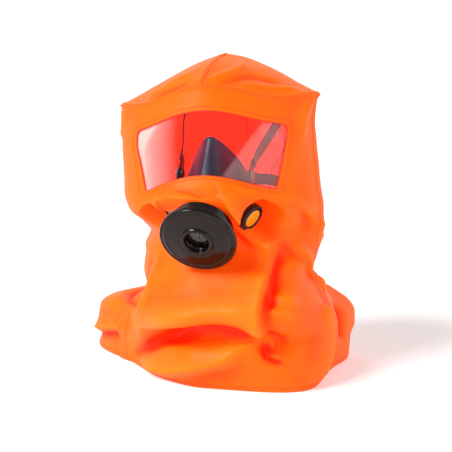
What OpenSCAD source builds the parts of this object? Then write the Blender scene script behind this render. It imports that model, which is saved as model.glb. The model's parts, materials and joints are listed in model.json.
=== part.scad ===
/* [Hood] */
// Height of the hood from the floor to its peak
hood_height = 462; // [420:1:560]
// Width of the hood across the two crown corners
hood_width = 298; // [260:1:360]
// Depth of the hood from forehead to back of the head
hood_depth = 271; // [240:1:330]
// Thickness of the coated fabric
fabric_t = 1.2; // [0.8:0.1:2]
// Lean of the hood to one side, in degrees
hood_lean = 4; // [0:0.5:6]
// How far the left cape flap spreads past the cape
left_flap = 97; // [20:1:110]
// How far the right cape flap spreads past the cape
right_flap = 38; // [10:1:60]

/* [Visor] */
// Half of the angle that the visor wraps round the face, in steps of 5 degrees
visor_half_angle = 60; // [50:5:65]
// Thickness of the clear visor sheet
visor_t = 0.8; // [0.5:0.1:1.5]

/* [Filter] */
// Diameter of the filter's front disc
filter_d = 107; // [95:1:118]
// Thickness of the filter's rim
rim_h = 9; // [7:0.5:12]
// Diameter of the filter's rear body, which passes through the port grommet
filter_body_d = 88; // [80:1:98]
// Depth of the filter's rear body behind the rim
filter_body_h = 24; // [20:1:32]
// Wall of the filter's moulded shells
filter_wall = 2; // [1.5:0.1:3]
// Radius of the air inlet at its throat
inlet_r = 13; // [10:0.5:16]
// Depth of the air inlet funnel
inlet_depth = 12; // [9:0.5:14]
// Outer radius of the filter's outlet neck
neck_r = 20; // [17:0.5:22]
// Length of the filter's outlet neck
neck_h = 15; // [12:1:20]
// How far the filter points down, in degrees
filter_pitch = 32; // [20:1:40]
// How far the filter pulls off its socket
filter_travel = 22; // [16:1:30]

/* [Half mask] */
// Width of the mask across the cheeks
mask_w = 100; // [90:1:110]
// Height of the mask from chin to nose
mask_h = 142; // [125:1:150]
// Wall of the moulded mask
mask_t = 2.6; // [2:0.1:3.5]

/* [Exhalation valves] */
// Outer radius of the valve cover
valve_r = 20; // [17:0.5:23]
// Height of the valve cover
cover_h = 9; // [7:0.5:12]
// Radius of the coloured disc on the cover
disc_r = 13.5; // [10:0.5:15]
// Radius of the air passage
passage_r = 11; // [9:0.5:13]
// How far a valve flap lifts off its seat
flap_lift = 2; // [1:0.1:2.5]

/* [Harness] */
// Width of the head straps
strap_w = 18; // [12:1:22]
// Thickness of the head straps
strap_t = 1.8; // [1.2:0.1:2.5]
// Radius of the stud that the harness swings on
stud_r = 4; // [3:0.25:5]
// Running clearance of the harness on its studs
stud_gap = 0.06; // [0.02:0.01:0.1]

/* [Clearances] */
// Gap between fixed pieces that only touch
seat_gap = 0.05; // [0.02:0.01:0.1]
// Gap between the clamped cloth and its clamps
cloth_gap = 0.15; // [0.05:0.05:0.5]
// Gap round a piece that slides
slide_gap = 0.3; // [0.1:0.05:0.5]

/* [Hidden] */
$fn = 96;

// The head's axis is the origin of the shapes below; the whole part is then set over its own middle.
head_x = 23.89;
head_y = 29.4;
mask_x = 8;
step = 5;
turns = 360 / step;

// Each ring of the hood, from below the peak to the floor: height at the sides, height at the front,
// reach to the front, back, left and right, and how square its front left, front right and back are.
// From the crown seam down, the rings' middle lies this far from the peak.
middle_y = -18;
nominal_height = 462;
nominal_width = 298;
nominal_depth = 271;
outline_rings = [
    [455, 456,  30,  34,  28,  28, 2.0, 2.0, 2.0],
    [442, 447,  66,  70,  58,  56, 1.9, 1.9, 1.9],
    [426, 435,  92, 102,  92,  86, 1.7, 1.7, 1.8],
    [411, 427, 102, 126, 122, 113, 1.55, 1.55, 1.7],
    [397, 421, 106, 140, 151, 141, 1.45, 1.45, 1.55],
    [380, 404, 113, 145, 149, 137, 1.65, 1.65, 1.7],
    [359, 386, 119, 148, 148, 135, 1.85, 1.85, 1.75],
    [337, 363, 121, 150, 148, 136, 2.0, 2.0, 1.8],
    [314, 341, 121, 151, 147, 138, 2.0, 2.0, 1.9],
    [290, 319, 121, 152, 146, 141, 2.0, 2.0, 2.0],
    [267, 298, 122, 152, 146, 143, 2.0, 2.0, 2.0],
    [254, 286, 128, 151, 141, 145, 2.0, 2.0, 2.0],
    [243, 272, 142, 150, 134, 147, 1.9, 1.9, 2.0],
    [232, 258, 145, 149, 127, 148, 1.6, 1.6, 2.0],
    [220, 242, 138, 147, 119, 148, 1.4, 1.4, 2.0],
    [208, 226, 128, 146, 107, 148, 1.5, 1.5, 2.0],
    [196, 210, 118, 144, 109, 146, 1.6, 1.7, 2.0],
    [184, 194, 112, 142, 114, 143, 1.8, 2.1, 2.0],
    [170, 175, 121, 140, 114, 138, 1.8, 2.6, 2.0],
    [148, 148, 131, 140, 115, 131, 1.8, 3.2, 2.0],
    [122, 122, 145, 143, 112, 146, 1.7, 3.8, 2.0],
    [ 97,  97, 154, 148, 122, 158, 1.6, 3.6, 2.0],
    [ 74,  74, 132, 154, 134, 163, 1.5, 4.0, 2.0],
    [ 50,  50, 140, 159, 140, 164, 1.4, 4.5, 2.0],
    [ 25,  25, 134, 163, 141, 163, 1.4, 5.0, 2.0],
    [  0,   0, 128, 166, 140, 160, 1.4, 5.0, 2.0]];
// The rings are twice as close round the filter and valves.
rings = [for (k = [0 : len(outline_rings) - 1]) let (r = outline_rings[k])
    each k < 10 || k > 18 ? [r] : [r, (r + outline_rings[k + 1]) / 2]];
last_ring = len(rings);
crown_seam = 5;
visor_top = 7;
visor_bottom = 11;
lean_low = 165;
lean_high = 255;
flap_top = 120;
flap_full = 66;
kx = hood_width / nominal_width;
ky = hood_depth / nominal_depth;
// A taller hood rises between these heights, above the window, so the fittings' places hold.
rise_low = 300;
rise_high = 430;
extra_height = hood_height - nominal_height;

// Filter: its own frame has +Z out of the inlet, with 0 on the front face.
filter_face = [mask_x, -180, 214];
filter_dir = [0, -cos(filter_pitch), -sin(filter_pitch)];
body_r = filter_body_d / 2;
inner_r = body_r - filter_wall - seat_gap;
boss_r = 23;
boss_lip = 3.2;
inlet_mouth = 5;
guard_t = 0.8;
guard_r = inlet_r + 5;
guard_bars = 3;
guard_pitch = 4;
guard_bar_w = 1;
pad_h = 2;
pad_z = -inlet_depth - guard_t - 2 * seat_gap - pad_h;
pleats = 22;
pleat_t = 0.8;
screen_t = 0.4;
screen_holes = [12, 24, 34];
pack_h = filter_body_h + rim_h - filter_wall + pad_z - 2 * screen_t - 5 * seat_gap;
pleat_h = pack_h * 0.45;
carbon_h = pack_h * 0.55;
carbon_z = pad_z - pleat_h - carbon_h - screen_t - 3 * seat_gap;
body_end = -rim_h - filter_body_h;
neck_end = body_end - neck_h;
neck_wall = 3;
o_ring_z = neck_end + 5;
groove_r = neck_r - 1.7;
o_ring_r = 0.9;
socket_front = body_end - 2;
socket_lip = 1;
socket_end = neck_end - 5;
socket_r = neck_r + slide_gap;
socket_out_r = socket_r + 4;
clamp_ring_r = 29.5;
clamp_ring_h = 3;
clamp_ring_z = socket_front - socket_lip - seat_gap - clamp_ring_h;
port_cloth_z = clamp_ring_z - cloth_gap;
saddle_t = 3;
saddle_z = port_cloth_z - fabric_t - cloth_gap - saddle_t;
port_center = filter_face + port_cloth_z * filter_dir;
port_flat = clamp_ring_r + 5;
port_fade = 14;

// Exhalation valve: its own frame has +Z out of the cover, with 0 on the cover's face.
valve_face = [62, -118, 238];
valve_turn = 68;
valve_drop = 28;
valve_dir = [cos(valve_drop) * sin(valve_turn), -cos(valve_drop) * cos(valve_turn), -sin(valve_drop)];
clamp_h = 4;
cloth_z = -cover_h - clamp_h - cloth_gap;
flange_z = cloth_z - fabric_t - cloth_gap;
flange_h = 3;
nozzle_end = flange_z - 17;
nozzle_r = passage_r + 2.5;
seat_z = -6;
flap_t = 0.7;
web_w = 1.2;
web_h = 2;
button_pin_r = 1.6;
valve_pin_r = 1.4;
cover_slots = 24;
cover_slot_w = 2.4;
clamp_r = valve_r - 1.5;
valve_flat = valve_r + 5;
valve_fade = 20;
cloth_slack = 2.7;

// Harness: the studs' common axis runs along X.
stud_y = -90;
stud_z = 294;
stud_x = 50;
yoke_t = 2;
yoke_r = 11;
yoke_x = stud_x + 0.5;
saddle_arm = [[27, -153.5, 254], [stud_x - 5, -115, 273], [stud_x - 3, stud_y, stud_z]];
saddle_arm_r = 2.2;
cap_r = 8;
cap_h = 4;
strap_x = yoke_x + yoke_t + 0.9 + strap_t / 2;
upper_path = [[strap_x, -77, 309], [strap_x, -68, 318], [60, -45, 334], [72, 0, 367], [70, 40, 392],
    [56, 68, 404], [40, 82, 406]];
upper_out = [[1, 0, 0], [1, 0, 0], [1, -0.3, 0.1], [1, 0, 0.3], [1, 0.3, 0.7], [0.6, 0.8, 0.9], [0.2, 1, 1]];
cradle_w = 1.4 * strap_w;
cradle_path = [[-40, 82, 406], [-20, 90, 409], [0, 92, 410], [20, 90, 409], [40, 82, 406]];
cradle_out = [[-0.2, 1, 1], [-0.1, 1, 1], [0, 1, 1], [0.1, 1, 1], [0.2, 1, 1]];
lower_path = [[strap_x, -80, 276], [strap_x, -70, 266], [62, -46, 255], [69.5, -20, 252], [71, -8, 252],
    [75.5, 28, 252], [77, 40, 252], [72, 64, 258], [56, 82, 265], [36, 90, 268], [20, 90, 268], [3, 90, 268]];
lower_out = [for (p = lower_path) [p[0], p[1] < -60 ? 0 : p[1] - 20, 0]];
nape = [0, 90, 268];
clasp_w = 34;
straight = 4;
straight_lean = atan2(4.5, 36);
adjuster_len = 14;
adjuster_travel = 8;
cord_r = 1;
cord_path = [[74.5, -4, 356], [81, -8, 345], [84, -16, 330], [79, -28, 314], [70, -38, 298], [68, -40, 280],
    [67, -38, 265]];

// Half mask: its rim's middle height, and how far the cheeks sit behind the nose and chin.
mask_z = 278;
cheek_y = -62;
nose_reach = 53;
chin_reach = 14;
nose_taper = 0.42;
nose_sweep = 1.6;
mask_cols = 48;
mask_rows = 12;
mask_front = saddle_z - seat_gap;
mask_front_r = socket_out_r + 0.15 + mask_t;

function in_front(a, j) = abs(a) < 90 && j >= crown_seam;
function in_window(a, j, grow) = abs(a) < visor_half_angle + grow * step
    && j >= visor_top - grow && j < visor_bottom + grow;
function ease(t) = let (u = min(1, max(0, t))) u * u * (3 - 2 * u);
function unit(v) = v / norm(v);
function wrap(a) = a > 180 ? a - 360 : a < -180 ? a + 360 : a;

// The hood's outer surface: column i goes round from the front, ring j goes down from the peak.
function outline(r, a) = let (c = cos(a), s = sin(a), reach_x = (s < 0 ? r[4] : r[5]) * kx,
        reach_y = (c < 0 ? r[3] : r[2]) * ky, p = c < 0 ? r[8] : s < 0 ? r[6] : r[7])
    pow(pow(abs(c) / reach_y, p) + pow(abs(s) / reach_x, p), -1 / p);
function bow(a) = abs(a) < 65 ? pow(cos(a * 90 / 65), 2) : 0;
function flap(a, z) = let (low = ease((flap_top - z) / (flap_top - flap_full)))
    low * (left_flap * exp(-pow(wrap(a + 112) / 19, 2)) + right_flap * exp(-pow(wrap(a - 122) / 17, 2)));
function rise(z) = extra_height * ease((z - rise_low) / (rise_high - rise_low));
function lean(z) = tan(hood_lean) * ease((z - lean_low) / (lean_high - lean_low));
function toward(p, center, dir, flat, fade) = let (v = p - center, along = v * dir, off = norm(v - along * dir))
    p - dir * along * (1 - ease((off - flat) / fade));
function ring_point(a, j) = let (r = rings[j - 1], z = r[0] + (r[1] - r[0]) * bow(a),
        reach = outline(r, a) + flap(a, z), x = reach * sin(a))
    [x, middle_y * ky * min(1, j / crown_seam) - reach * cos(a), z + rise(z) + x * lean(z)];
function valve_point(side) = [mask_x + side * valve_face[0], valve_face[1], valve_face[2]];
function valve_axis(side) = [side * valve_dir[0], valve_dir[1], valve_dir[2]];
function flattened(p) = let (q = toward(p, port_center, filter_dir, port_flat, port_fade),
        side = p[0] < mask_x ? -1 : 1, center = valve_point(side) + cloth_z * valve_axis(side))
    norm(cross(p - port_center, filter_dir)) < port_flat ? q
    : toward(q, center, valve_axis(side), valve_flat, valve_fade);
flat_grid = [for (j = [0 : last_ring]) [for (i = [0 : turns - 1]) let (a = wrap(i * step))
    j == 0 ? [0, 0, hood_height] : abs(a) < 90 ? flattened(ring_point(a, j)) : ring_point(a, j)]];

// The cloth's holes, as centre, direction, radius and the radius that the cloth is clamped flat in.
// Cells in a hole are left out, and the grid points round them lie on its edge.
hole_reach = 8;
holes = concat([[port_center, filter_dir, socket_out_r + cloth_slack, port_flat]], [for (side = [-1, 1])
    [valve_point(side) + cloth_z * valve_axis(side), valve_axis(side), nozzle_r + cloth_slack, valve_flat]]);
function off_axis(p, hole) = let (v = p - hole[0]) v - (v * hole[1]) * hole[1];
function hole_at(p) = [for (h = holes) if (abs((p - h[0]) * h[1]) < hole_reach && norm(off_axis(p, h)) < h[2]) h];
function to_edge(p, hole) = p + (hole[2] / norm(off_axis(p, hole)) - 1) * off_axis(p, hole);
function flat_at(i, j) = flat_grid[j][(i + 2 * turns) % turns];
cell_holes = [for (j = [0 : last_ring - 1]) [for (i = [0 : turns - 1])
    hole_at((flat_at(i, j) + flat_at(i + 1, j) + flat_at(i, j + 1) + flat_at(i + 1, j + 1)) / 4)]];
function holes_round(i, j) = [for (dj = [-1, 0]) for (di = [-1, 0]) if (j + dj >= 0 && j + dj < last_ring)
    each cell_holes[j + dj][(i + di + 2 * turns) % turns]];
grid = [for (j = [0 : last_ring]) [for (i = [0 : turns - 1])
    let (near = holes_round(i, j))
    len(near) > 0 && len(near) < 4 ? to_edge(flat_at(i, j), near[0]) : flat_at(i, j)]];
function at(i, j) = grid[j][(i + 2 * turns) % turns];
function in_hole(a, j) = len(cell_holes[j][(floor(a / step) + 2 * turns) % turns]) > 0;
function clamped(p) = [for (h = holes) if (abs((p - h[0]) * h[1]) < 0.1 && norm(off_axis(p, h)) < h[3]) h];
function normal(i, j) = j == 0 ? [0, 0, 1] : len(clamped(at(i, j))) > 0 ? clamped(at(i, j))[0][1]
    : let (n = unit(cross(at(i + 1, j) - at(i - 1, j), at(i, max(1, j - 1)) - at(i, min(last_ring, j + 1)))))
      j == last_ring ? unit([n[0], n[1], 0]) : n;
function shell(i, j, depth) = at(i, j) - depth * normal(i, j);

// A sheet of cells on the hood's surface, from depth d0 to depth d1 under it, with walls at its borders.
module sheet(cells, d0, d1) {
    per_side = (last_ring + 1) * turns;
    function idx(side, i, j) = side * per_side + (j == 0 ? 0 : j * turns + (i + 2 * turns) % turns);
    has = [for (j = [0 : last_ring - 1]) [for (i = [0 : turns - 1]) cells(wrap((i + 0.5) * step), j)]];
    function on(i, j) = j >= 0 && j < last_ring && has[j][(i + turns) % turns];
    points = [for (side = [0, 1]) for (j = [0 : last_ring]) for (i = [0 : turns - 1])
        shell(i, j, side == 0 ? d0 : d1)];
    function quad(s, a, b, c, d) = s == 0 ? [[a, b, c], [a, c, d]] : [[a, c, b], [a, d, c]];
    function peak(s, a, b) = s == 0 ? [idx(s, 0, 0), a, b] : [idx(s, 0, 0), b, a];
    skins = [for (j = [0 : last_ring - 1]) for (i = [0 : turns - 1]) if (on(i, j)) for (s = [0, 1])
        each j == 0 ? [peak(s, idx(s, i + 1, 1), idx(s, i, 1))]
            : quad(s, idx(s, i, j), idx(s, i + 1, j), idx(s, i + 1, j + 1), idx(s, i, j + 1))];
    function corner(s, p) = idx(s, p[0], p[1]);
    function wall(a, b, far) = far
        ? [[corner(0, a), corner(1, a), corner(0, b)], [corner(1, a), corner(1, b), corner(0, b)]]
        : [[corner(0, a), corner(1, a), corner(1, b)], [corner(0, a), corner(1, b), corner(0, b)]];
    walls = [for (j = [0 : last_ring - 1]) for (i = [0 : turns - 1]) if (on(i, j)) each concat(
        on(i, j - 1) || j == 0 ? [] : wall([i, j], [i + 1, j], false),
        on(i, j + 1) ? [] : wall([i + 1, j + 1], [i, j + 1], true),
        on(i - 1, j) ? [] : wall([i, j + 1], [i, j], true),
        on(i + 1, j) ? [] : wall([i + 1, j], [i + 1, j + 1], false))];
    polyhedron(points, concat(skins, walls), convexity = 8);
}

// Points of an arc from angle a0 to a1, centred at [x, y].
function arc(x, y, r, a0, a1, n) = [for (k = [0 : n]) let (a = a0 + (a1 - a0) * k / n)
    [x + r * cos(a), y + r * sin(a)]];

// A closed loft of rows of points, as a wall of the given thickness that is open at both ends.
module tube_wall(rows, t) {
    n = len(rows);
    m = len(rows[0]);
    function out(i, k) = unit(cross(rows[min(n - 1, i + 1)][k] - rows[max(0, i - 1)][k],
        rows[i][(k + 1) % m] - rows[i][(k + m - 1) % m]));
    inner = [for (i = [0 : n - 1]) [for (k = [0 : m - 1]) rows[i][k] - t * out(i, k)]];
    function idx(s, i, k) = (s * n + i) * m + k % m;
    function two(a, b, c, d) = [[a, b, c], [a, c, d]];
    skins = [for (i = [0 : n - 2]) for (k = [0 : m - 1]) each concat(
        two(idx(0, i, k), idx(0, i, k + 1), idx(0, i + 1, k + 1), idx(0, i + 1, k)),
        two(idx(1, i + 1, k), idx(1, i + 1, k + 1), idx(1, i, k + 1), idx(1, i, k)))];
    ends = [for (k = [0 : m - 1]) each concat(
        two(idx(0, 0, k), idx(1, 0, k), idx(1, 0, k + 1), idx(0, 0, k + 1)),
        two(idx(0, n - 1, k), idx(0, n - 1, k + 1), idx(1, n - 1, k + 1), idx(1, n - 1, k)))];
    polyhedron([for (row = concat(rows, inner)) each row], concat(skins, ends), convexity = 8);
}
function bezier(p, s) = pow(1 - s, 3) * p[0] + 3 * s * pow(1 - s, 2) * p[1] + 3 * s * s * (1 - s) * p[2]
    + pow(s, 3) * p[3];
function mask_rim(t) = [mask_x + mask_w / 2 * cos(t) * (1 - nose_taper * max(0, sin(t))),
    cheek_y - nose_reach * pow(max(0, sin(t)), nose_sweep) - chin_reach * pow(max(0, -sin(t)), 2),
    mask_z + mask_h / 2 * sin(t)];
function mask_start(t) = filter_face + mask_front * filter_dir
    + mask_front_r * [cos(t), -sin(filter_pitch) * sin(t), cos(filter_pitch) * sin(t)];
cheek_bulge = 7;
nose_bulge = 16;
cheek_lead = 26;
nose_lead = 12;
nose_drop = 30;
mask_grid = [for (i = [0 : mask_rows]) [for (k = [0 : mask_cols - 1])
    let (t = k * 360 / mask_cols, up = max(0, sin(t)), a = mask_start(t), b = mask_rim(t),
        out = unit(a - filter_face - mask_front * filter_dir))
    bezier([a, a + cheek_bulge * (1 - up) * out - nose_bulge * up * filter_dir,
        b - [0, cheek_lead - (cheek_lead - nose_lead) * up, nose_drop * up], b], i / mask_rows)]];

// A flat strap, or with sides > 4 a round cord, swept along a path; out[k] is the way its face looks at path[k].
function spline(p, i, s) = let (a = p[max(0, i - 1)], b = p[i], c = p[i + 1], d = p[min(len(p) - 1, i + 2)])
    0.5 * (2 * b + (c - a) * s + (2 * a - 5 * b + 4 * c - d) * s * s + (3 * b - a - 3 * c + d) * s * s * s);
function smooth(p, n) = concat([for (i = [0 : len(p) - 2]) for (k = [0 : n - 1]) spline(p, i, k / n)],
    [p[len(p) - 1]]);
module sweep(path, outs, section) {
    n = len(path);
    m = len(section);
    rows = [for (i = [0 : n - 1]) let (along = unit(path[min(n - 1, i + 1)] - path[max(0, i - 1)]),
        side = unit(cross(along, outs[i])), out = cross(side, along))
        [for (q = section) path[i] + q[0] * side + q[1] * out]];
    function idx(i, k) = i * m + k % m;
    walls = [for (i = [0 : n - 2]) for (k = [0 : m - 1])
        each [[idx(i, k), idx(i, k + 1), idx(i + 1, k + 1)], [idx(i, k), idx(i + 1, k + 1), idx(i + 1, k)]]];
    polyhedron([for (row = rows) each row], concat([[for (k = [m - 1 : -1 : 0]) k]], walls,
        [[for (k = [0 : m - 1]) idx(n - 1, k)]]), convexity = 4);
}
function mirrored(points, side) = [for (p = points) [side * p[0], p[1], p[2]]];
module strap(path, outs, width, thick) {
    w = width / 2;
    t = thick / 2;
    sweep(smooth(path, 4), smooth(outs, 4), [[-w, -t], [w, -t], [w, t], [-w, t]]);
}

module place() {
    translate([head_x, head_y, 0]) children();
}
module on_filter() {
    place() translate(filter_face) rotate([90 + filter_pitch, 0, 0]) children();
}
module on_valve(side) {
    place() translate(valve_point(side)) rotate([0, 0, side * valve_turn]) rotate([90 + valve_drop, 0, 0])
        children();
}
module ring(outer, inner, z0, z1) {
    translate([0, 0, z0]) difference() {
        cylinder(r = outer, h = z1 - z0);
        translate([0, 0, -1]) cylinder(r = inner, h = z1 - z0 + 2);
    }
}
module across(side, x, r, h, fn = 96) {
    translate([side * x, stud_y, stud_z]) rotate([0, side * 90, 0]) cylinder(r = r, h = h, $fn = fn);
}

module front_panel() {
    color("orangered") place()
        sheet(function (a, j) in_front(a, j) && !in_window(a, j, 0) && !in_hole(a, j), 0, fabric_t);
}
module rear_left_panel() {
    color("orangered") place() sheet(function (a, j) a < 0 && !in_front(a, j), 0, fabric_t);
}
module rear_right_panel() {
    color("orangered") place() sheet(function (a, j) a > 0 && !in_front(a, j), 0, fabric_t);
}
module visor() {
    top = fabric_t + seat_gap;
    color("mistyrose", 0.4) place() sheet(function (a, j) in_window(a, j, 1), top, top + visor_t);
}
module port_clamp() {
    color("black") on_filter()
        ring(clamp_ring_r, socket_out_r + seat_gap, clamp_ring_z, clamp_ring_z + clamp_ring_h);
}

// The filter, from its front face to its neck.
module filter_front_cover() {
    r = filter_d / 2;
    w = filter_wall;
    color("black") on_filter() difference() {
        rotate_extrude() polygon(concat(
            [[r, -rim_h], [r, -2], [r - 1, -1.2], [r - 2.5, -1.2], [r - 7, 0.6], [boss_r + 4, 2.2]],
            arc(boss_r - boss_lip, 1.5, boss_lip, 20, 180, 10),
            [[inlet_r, -inlet_mouth], [inlet_r, -inlet_depth], [guard_r, -inlet_depth], [guard_r, -4],
            [boss_r + 3, -w + 1], [r - 7, -w - 0.4], [r - w, -w - 2], [r - w, -rim_h]]));
        translate([0, r - 1.9, -3]) cylinder(r = 0.8, h = 4);
    }
}
module filter_rear_shell() {
    w = filter_wall;
    flange_r = filter_d / 2 - w - seat_gap;
    color("black") on_filter() rotate_extrude() polygon([[neck_r - neck_wall, neck_end],
        [neck_r - 1, neck_end], [neck_r, neck_end + 1], [neck_r, o_ring_z - 1],
        [groove_r, o_ring_z - 1], [groove_r, o_ring_z + 1], [neck_r, o_ring_z + 1], [neck_r, body_end],
        [body_r - 3, body_end], [body_r, body_end + 3], [body_r, -rim_h], [flange_r, -rim_h],
        [flange_r, -rim_h + w], [body_r - w, -rim_h + w], [body_r - w, body_end + w],
        [neck_r - neck_wall, body_end + w]]);
}
module inlet_guard() {
    z = -inlet_depth - guard_t - seat_gap;
    color("saddlebrown") on_filter() union() {
        ring(guard_r, inlet_r - 0.5, z, z + guard_t);
        intersection() {
            translate([0, 0, z]) cylinder(r = inlet_r, h = guard_t);
            for (k = [-guard_bars : guard_bars]) {
                at = k * guard_pitch - guard_bar_w / 2;
                translate([at, -inlet_r, z]) cube([guard_bar_w, 2 * inlet_r, guard_t]);
                translate([-inlet_r, at, z]) cube([2 * inlet_r, guard_bar_w, guard_t]);
            }
        }
    }
}
module prefilter_pad() {
    color("ivory") on_filter() translate([0, 0, pad_z]) cylinder(r = inner_r, h = pad_h);
}
module particle_pleats() {
    pitch = 2 * inner_r / pleats;
    low = pad_z - seat_gap - pleat_h;
    color("white") on_filter() intersection() {
        translate([0, 0, low]) cylinder(r = inner_r, h = pleat_h);
        translate([-inner_r, inner_r, low]) rotate([90, 0, 0]) linear_extrude(2 * inner_r)
            polygon(concat([for (k = [0 : 2 * pleats]) [k * pitch / 2, k % 2 == 0 ? 0 : pleat_h - pleat_t]],
                [for (k = [2 * pleats : -1 : 0]) [k * pitch / 2, k % 2 == 0 ? pleat_t : pleat_h]]));
    }
}
module carbon_bed() {
    color("dimgray") on_filter() translate([0, 0, carbon_z]) cylinder(r = inner_r, h = carbon_h);
}
module carbon_screens() {
    color("silver") on_filter() for (z = [carbon_z - seat_gap - screen_t, carbon_z + carbon_h + seat_gap]) {
        difference() {
            translate([0, 0, z]) cylinder(r = inner_r, h = screen_t);
            for (turn = [0 : 45 : 315]) rotate([0, 0, turn]) {
                for (reach = screen_holes) translate([reach, 0, z - 1]) cylinder(r = 2, h = screen_t + 2);
            }
        }
    }
}
module neck_o_ring() {
    color("black") on_filter() translate([0, 0, o_ring_z]) rotate_extrude()
        translate([groove_r + o_ring_r + 0.1, 0]) circle(r = o_ring_r, $fn = 24);
}

// The half mask behind the filter.
module mask_body() {
    color("midnightblue") difference() {
        place() tube_wall(mask_grid, mask_t);
        for (side = [-1, 1]) {
            on_valve(side) translate([0, 0, nozzle_end - 6])
                cylinder(r = nozzle_r + seat_gap, h = flange_z - nozzle_end);
        }
    }
}
module filter_socket() {
    color("black") on_filter() union() {
        ring(socket_out_r, socket_r, socket_end, socket_front);
        ring(socket_out_r + 3, socket_r, socket_front - socket_lip, socket_front);
    }
}
module spider(z) {
    for (turn = [0, 60, 120]) rotate([0, 0, turn]) {
        translate([-passage_r - 0.5, -web_w / 2, z]) cube([2 * passage_r + 1, web_w, web_h]);
    }
}
module inhalation_seat() {
    z = socket_end;
    color("gray") on_filter() union() {
        ring(socket_r - seat_gap, passage_r, z, z + 2);
        spider(z);
        translate([0, 0, z - flap_t - flap_lift - 2]) cylinder(r = button_pin_r, h = flap_t + flap_lift + 4.5);
    }
}
module inhalation_flap() {
    color("gainsboro") on_filter()
        ring(passage_r + 3, button_pin_r + slide_gap, socket_end - seat_gap - flap_t, socket_end - seat_gap);
}
module flap_button() {
    low = socket_end - flap_t - flap_lift - 2;
    color("gray") on_filter() ring(2 * button_pin_r, button_pin_r + seat_gap, low, low + 1);
}

// The exhalation valves, one on each side.
module valve_nozzle(side) {
    color("black") on_valve(side) union() {
        ring(nozzle_r, passage_r, nozzle_end, seat_z);
        ring(clamp_r, nozzle_r - 0.5, flange_z - flange_h, flange_z);
        spider(seat_z - web_h - 0.2);
        translate([0, 0, seat_z - web_h - 0.5]) cylinder(r = valve_pin_r, h = web_h + 3.5);
    }
}
module valve_clamp(side) {
    color("silver") on_valve(side) ring(clamp_r, nozzle_r + seat_gap, -cover_h - clamp_h, -cover_h);
}
module exhalation_flap(side) {
    color("gainsboro") on_valve(side)
        ring(passage_r + 1.8, valve_pin_r + slide_gap, seat_z + seat_gap, seat_z + seat_gap + flap_t);
}
module valve_cover(side) {
    color("black") on_valve(side) difference() {
        translate([0, 0, -cover_h + seat_gap]) cylinder(r = valve_r, h = cover_h - seat_gap);
        translate([0, 0, -cover_h - 1]) cylinder(r = nozzle_r + seat_gap, h = 4);
        translate([0, 0, -cover_h + 2]) cylinder(r = valve_r - 2, h = cover_h - 4);
        translate([0, 0, -1]) cylinder(r = disc_r + seat_gap, h = 2);
        for (turn = [1 : cover_slots]) rotate([0, 0, turn * 360 / cover_slots]) {
            translate([disc_r + 1, -cover_slot_w / 2, -3]) cube([valve_r - disc_r - 3, cover_slot_w, 4]);
        }
    }
}
module cover_disc(side) {
    color("orange") on_valve(side) translate([0, 0, -1 + seat_gap]) cylinder(r = disc_r, h = 1);
}

// The head harness, which swings on the saddle's studs.
module harness_saddle() {
    color("black") {
        on_filter() ring(clamp_ring_r, socket_out_r + seat_gap, saddle_z, saddle_z + saddle_t);
        place() translate([mask_x, 0, 0]) for (side = [-1, 1]) {
            for (k = [0, 1]) hull() {
                for (p = [saddle_arm[k], saddle_arm[k + 1]]) {
                    translate([side * p[0], p[1], p[2]]) sphere(r = saddle_arm_r, $fn = 16);
                }
            }
            across(side, stud_x - 4, 7, 4);
            across(side, stud_x, stud_r, yoke_t + 1);
        }
    }
}
module stud_cap(side) {
    color("gray") place() translate([mask_x, 0, 0]) across(side, stud_x + yoke_t + 1 + seat_gap, cap_r, cap_h);
}
module yoke(side) {
    arm_ends = [upper_path[0], lower_path[0]];
    color("black") place() translate([mask_x, 0, 0]) difference() {
        for (end = arm_ends) hull() {
            across(side, yoke_x, yoke_r, yoke_t, 32);
            translate([side * yoke_x, end[1], end[2]]) rotate([0, side * 90, 0])
                cylinder(r = strap_w / 2, h = yoke_t, $fn = 32);
        }
        across(side, stud_x - 1, stud_r + stud_gap, yoke_t + 4);
    }
}
module upper_strap(side) {
    color("dimgray") place() translate([mask_x, 0, 0])
        strap(mirrored(upper_path, side), mirrored(upper_out, side), strap_w, strap_t);
}
module neck_strap(side) {
    color("dimgray") place() translate([mask_x, 0, 0])
        strap(mirrored(lower_path, side), mirrored(lower_out, side), strap_w, strap_t);
}
module adjuster(side) {
    mid = (lower_path[straight] + lower_path[straight + 1]) / 2;
    color("black") place() translate([mask_x + side * mid[0], mid[1], mid[2]])
        rotate([0, 0, -side * straight_lean]) difference() {
            cube([strap_t + 5, adjuster_len, strap_w + 7], center = true);
            cube([strap_t + 2 * slide_gap, adjuster_len + 2, strap_w + 2 * slide_gap], center = true);
        }
}
module retainer_cord() {
    path = smooth(cord_path, 5);
    color("black") place() translate([mask_x, 0, 0]) sweep(path, [for (p = path) [1, 0, 0]],
        [for (k = [0 : 7]) cord_r * [cos(k * 45), sin(k * 45)]]);
}
module crown_cradle() {
    color("dimgray") place() translate([mask_x, 0, 0]) strap(cradle_path, cradle_out, cradle_w, strap_t);
}
module neck_clasp() {
    color("black") place() translate([mask_x, nape[1], nape[2]]) difference() {
        cube([clasp_w, 6, strap_w + 6], center = true);
        cube([clasp_w + 2, strap_t + 2 * seat_gap, strap_w + 2 * seat_gap], center = true);
    }
}

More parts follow.
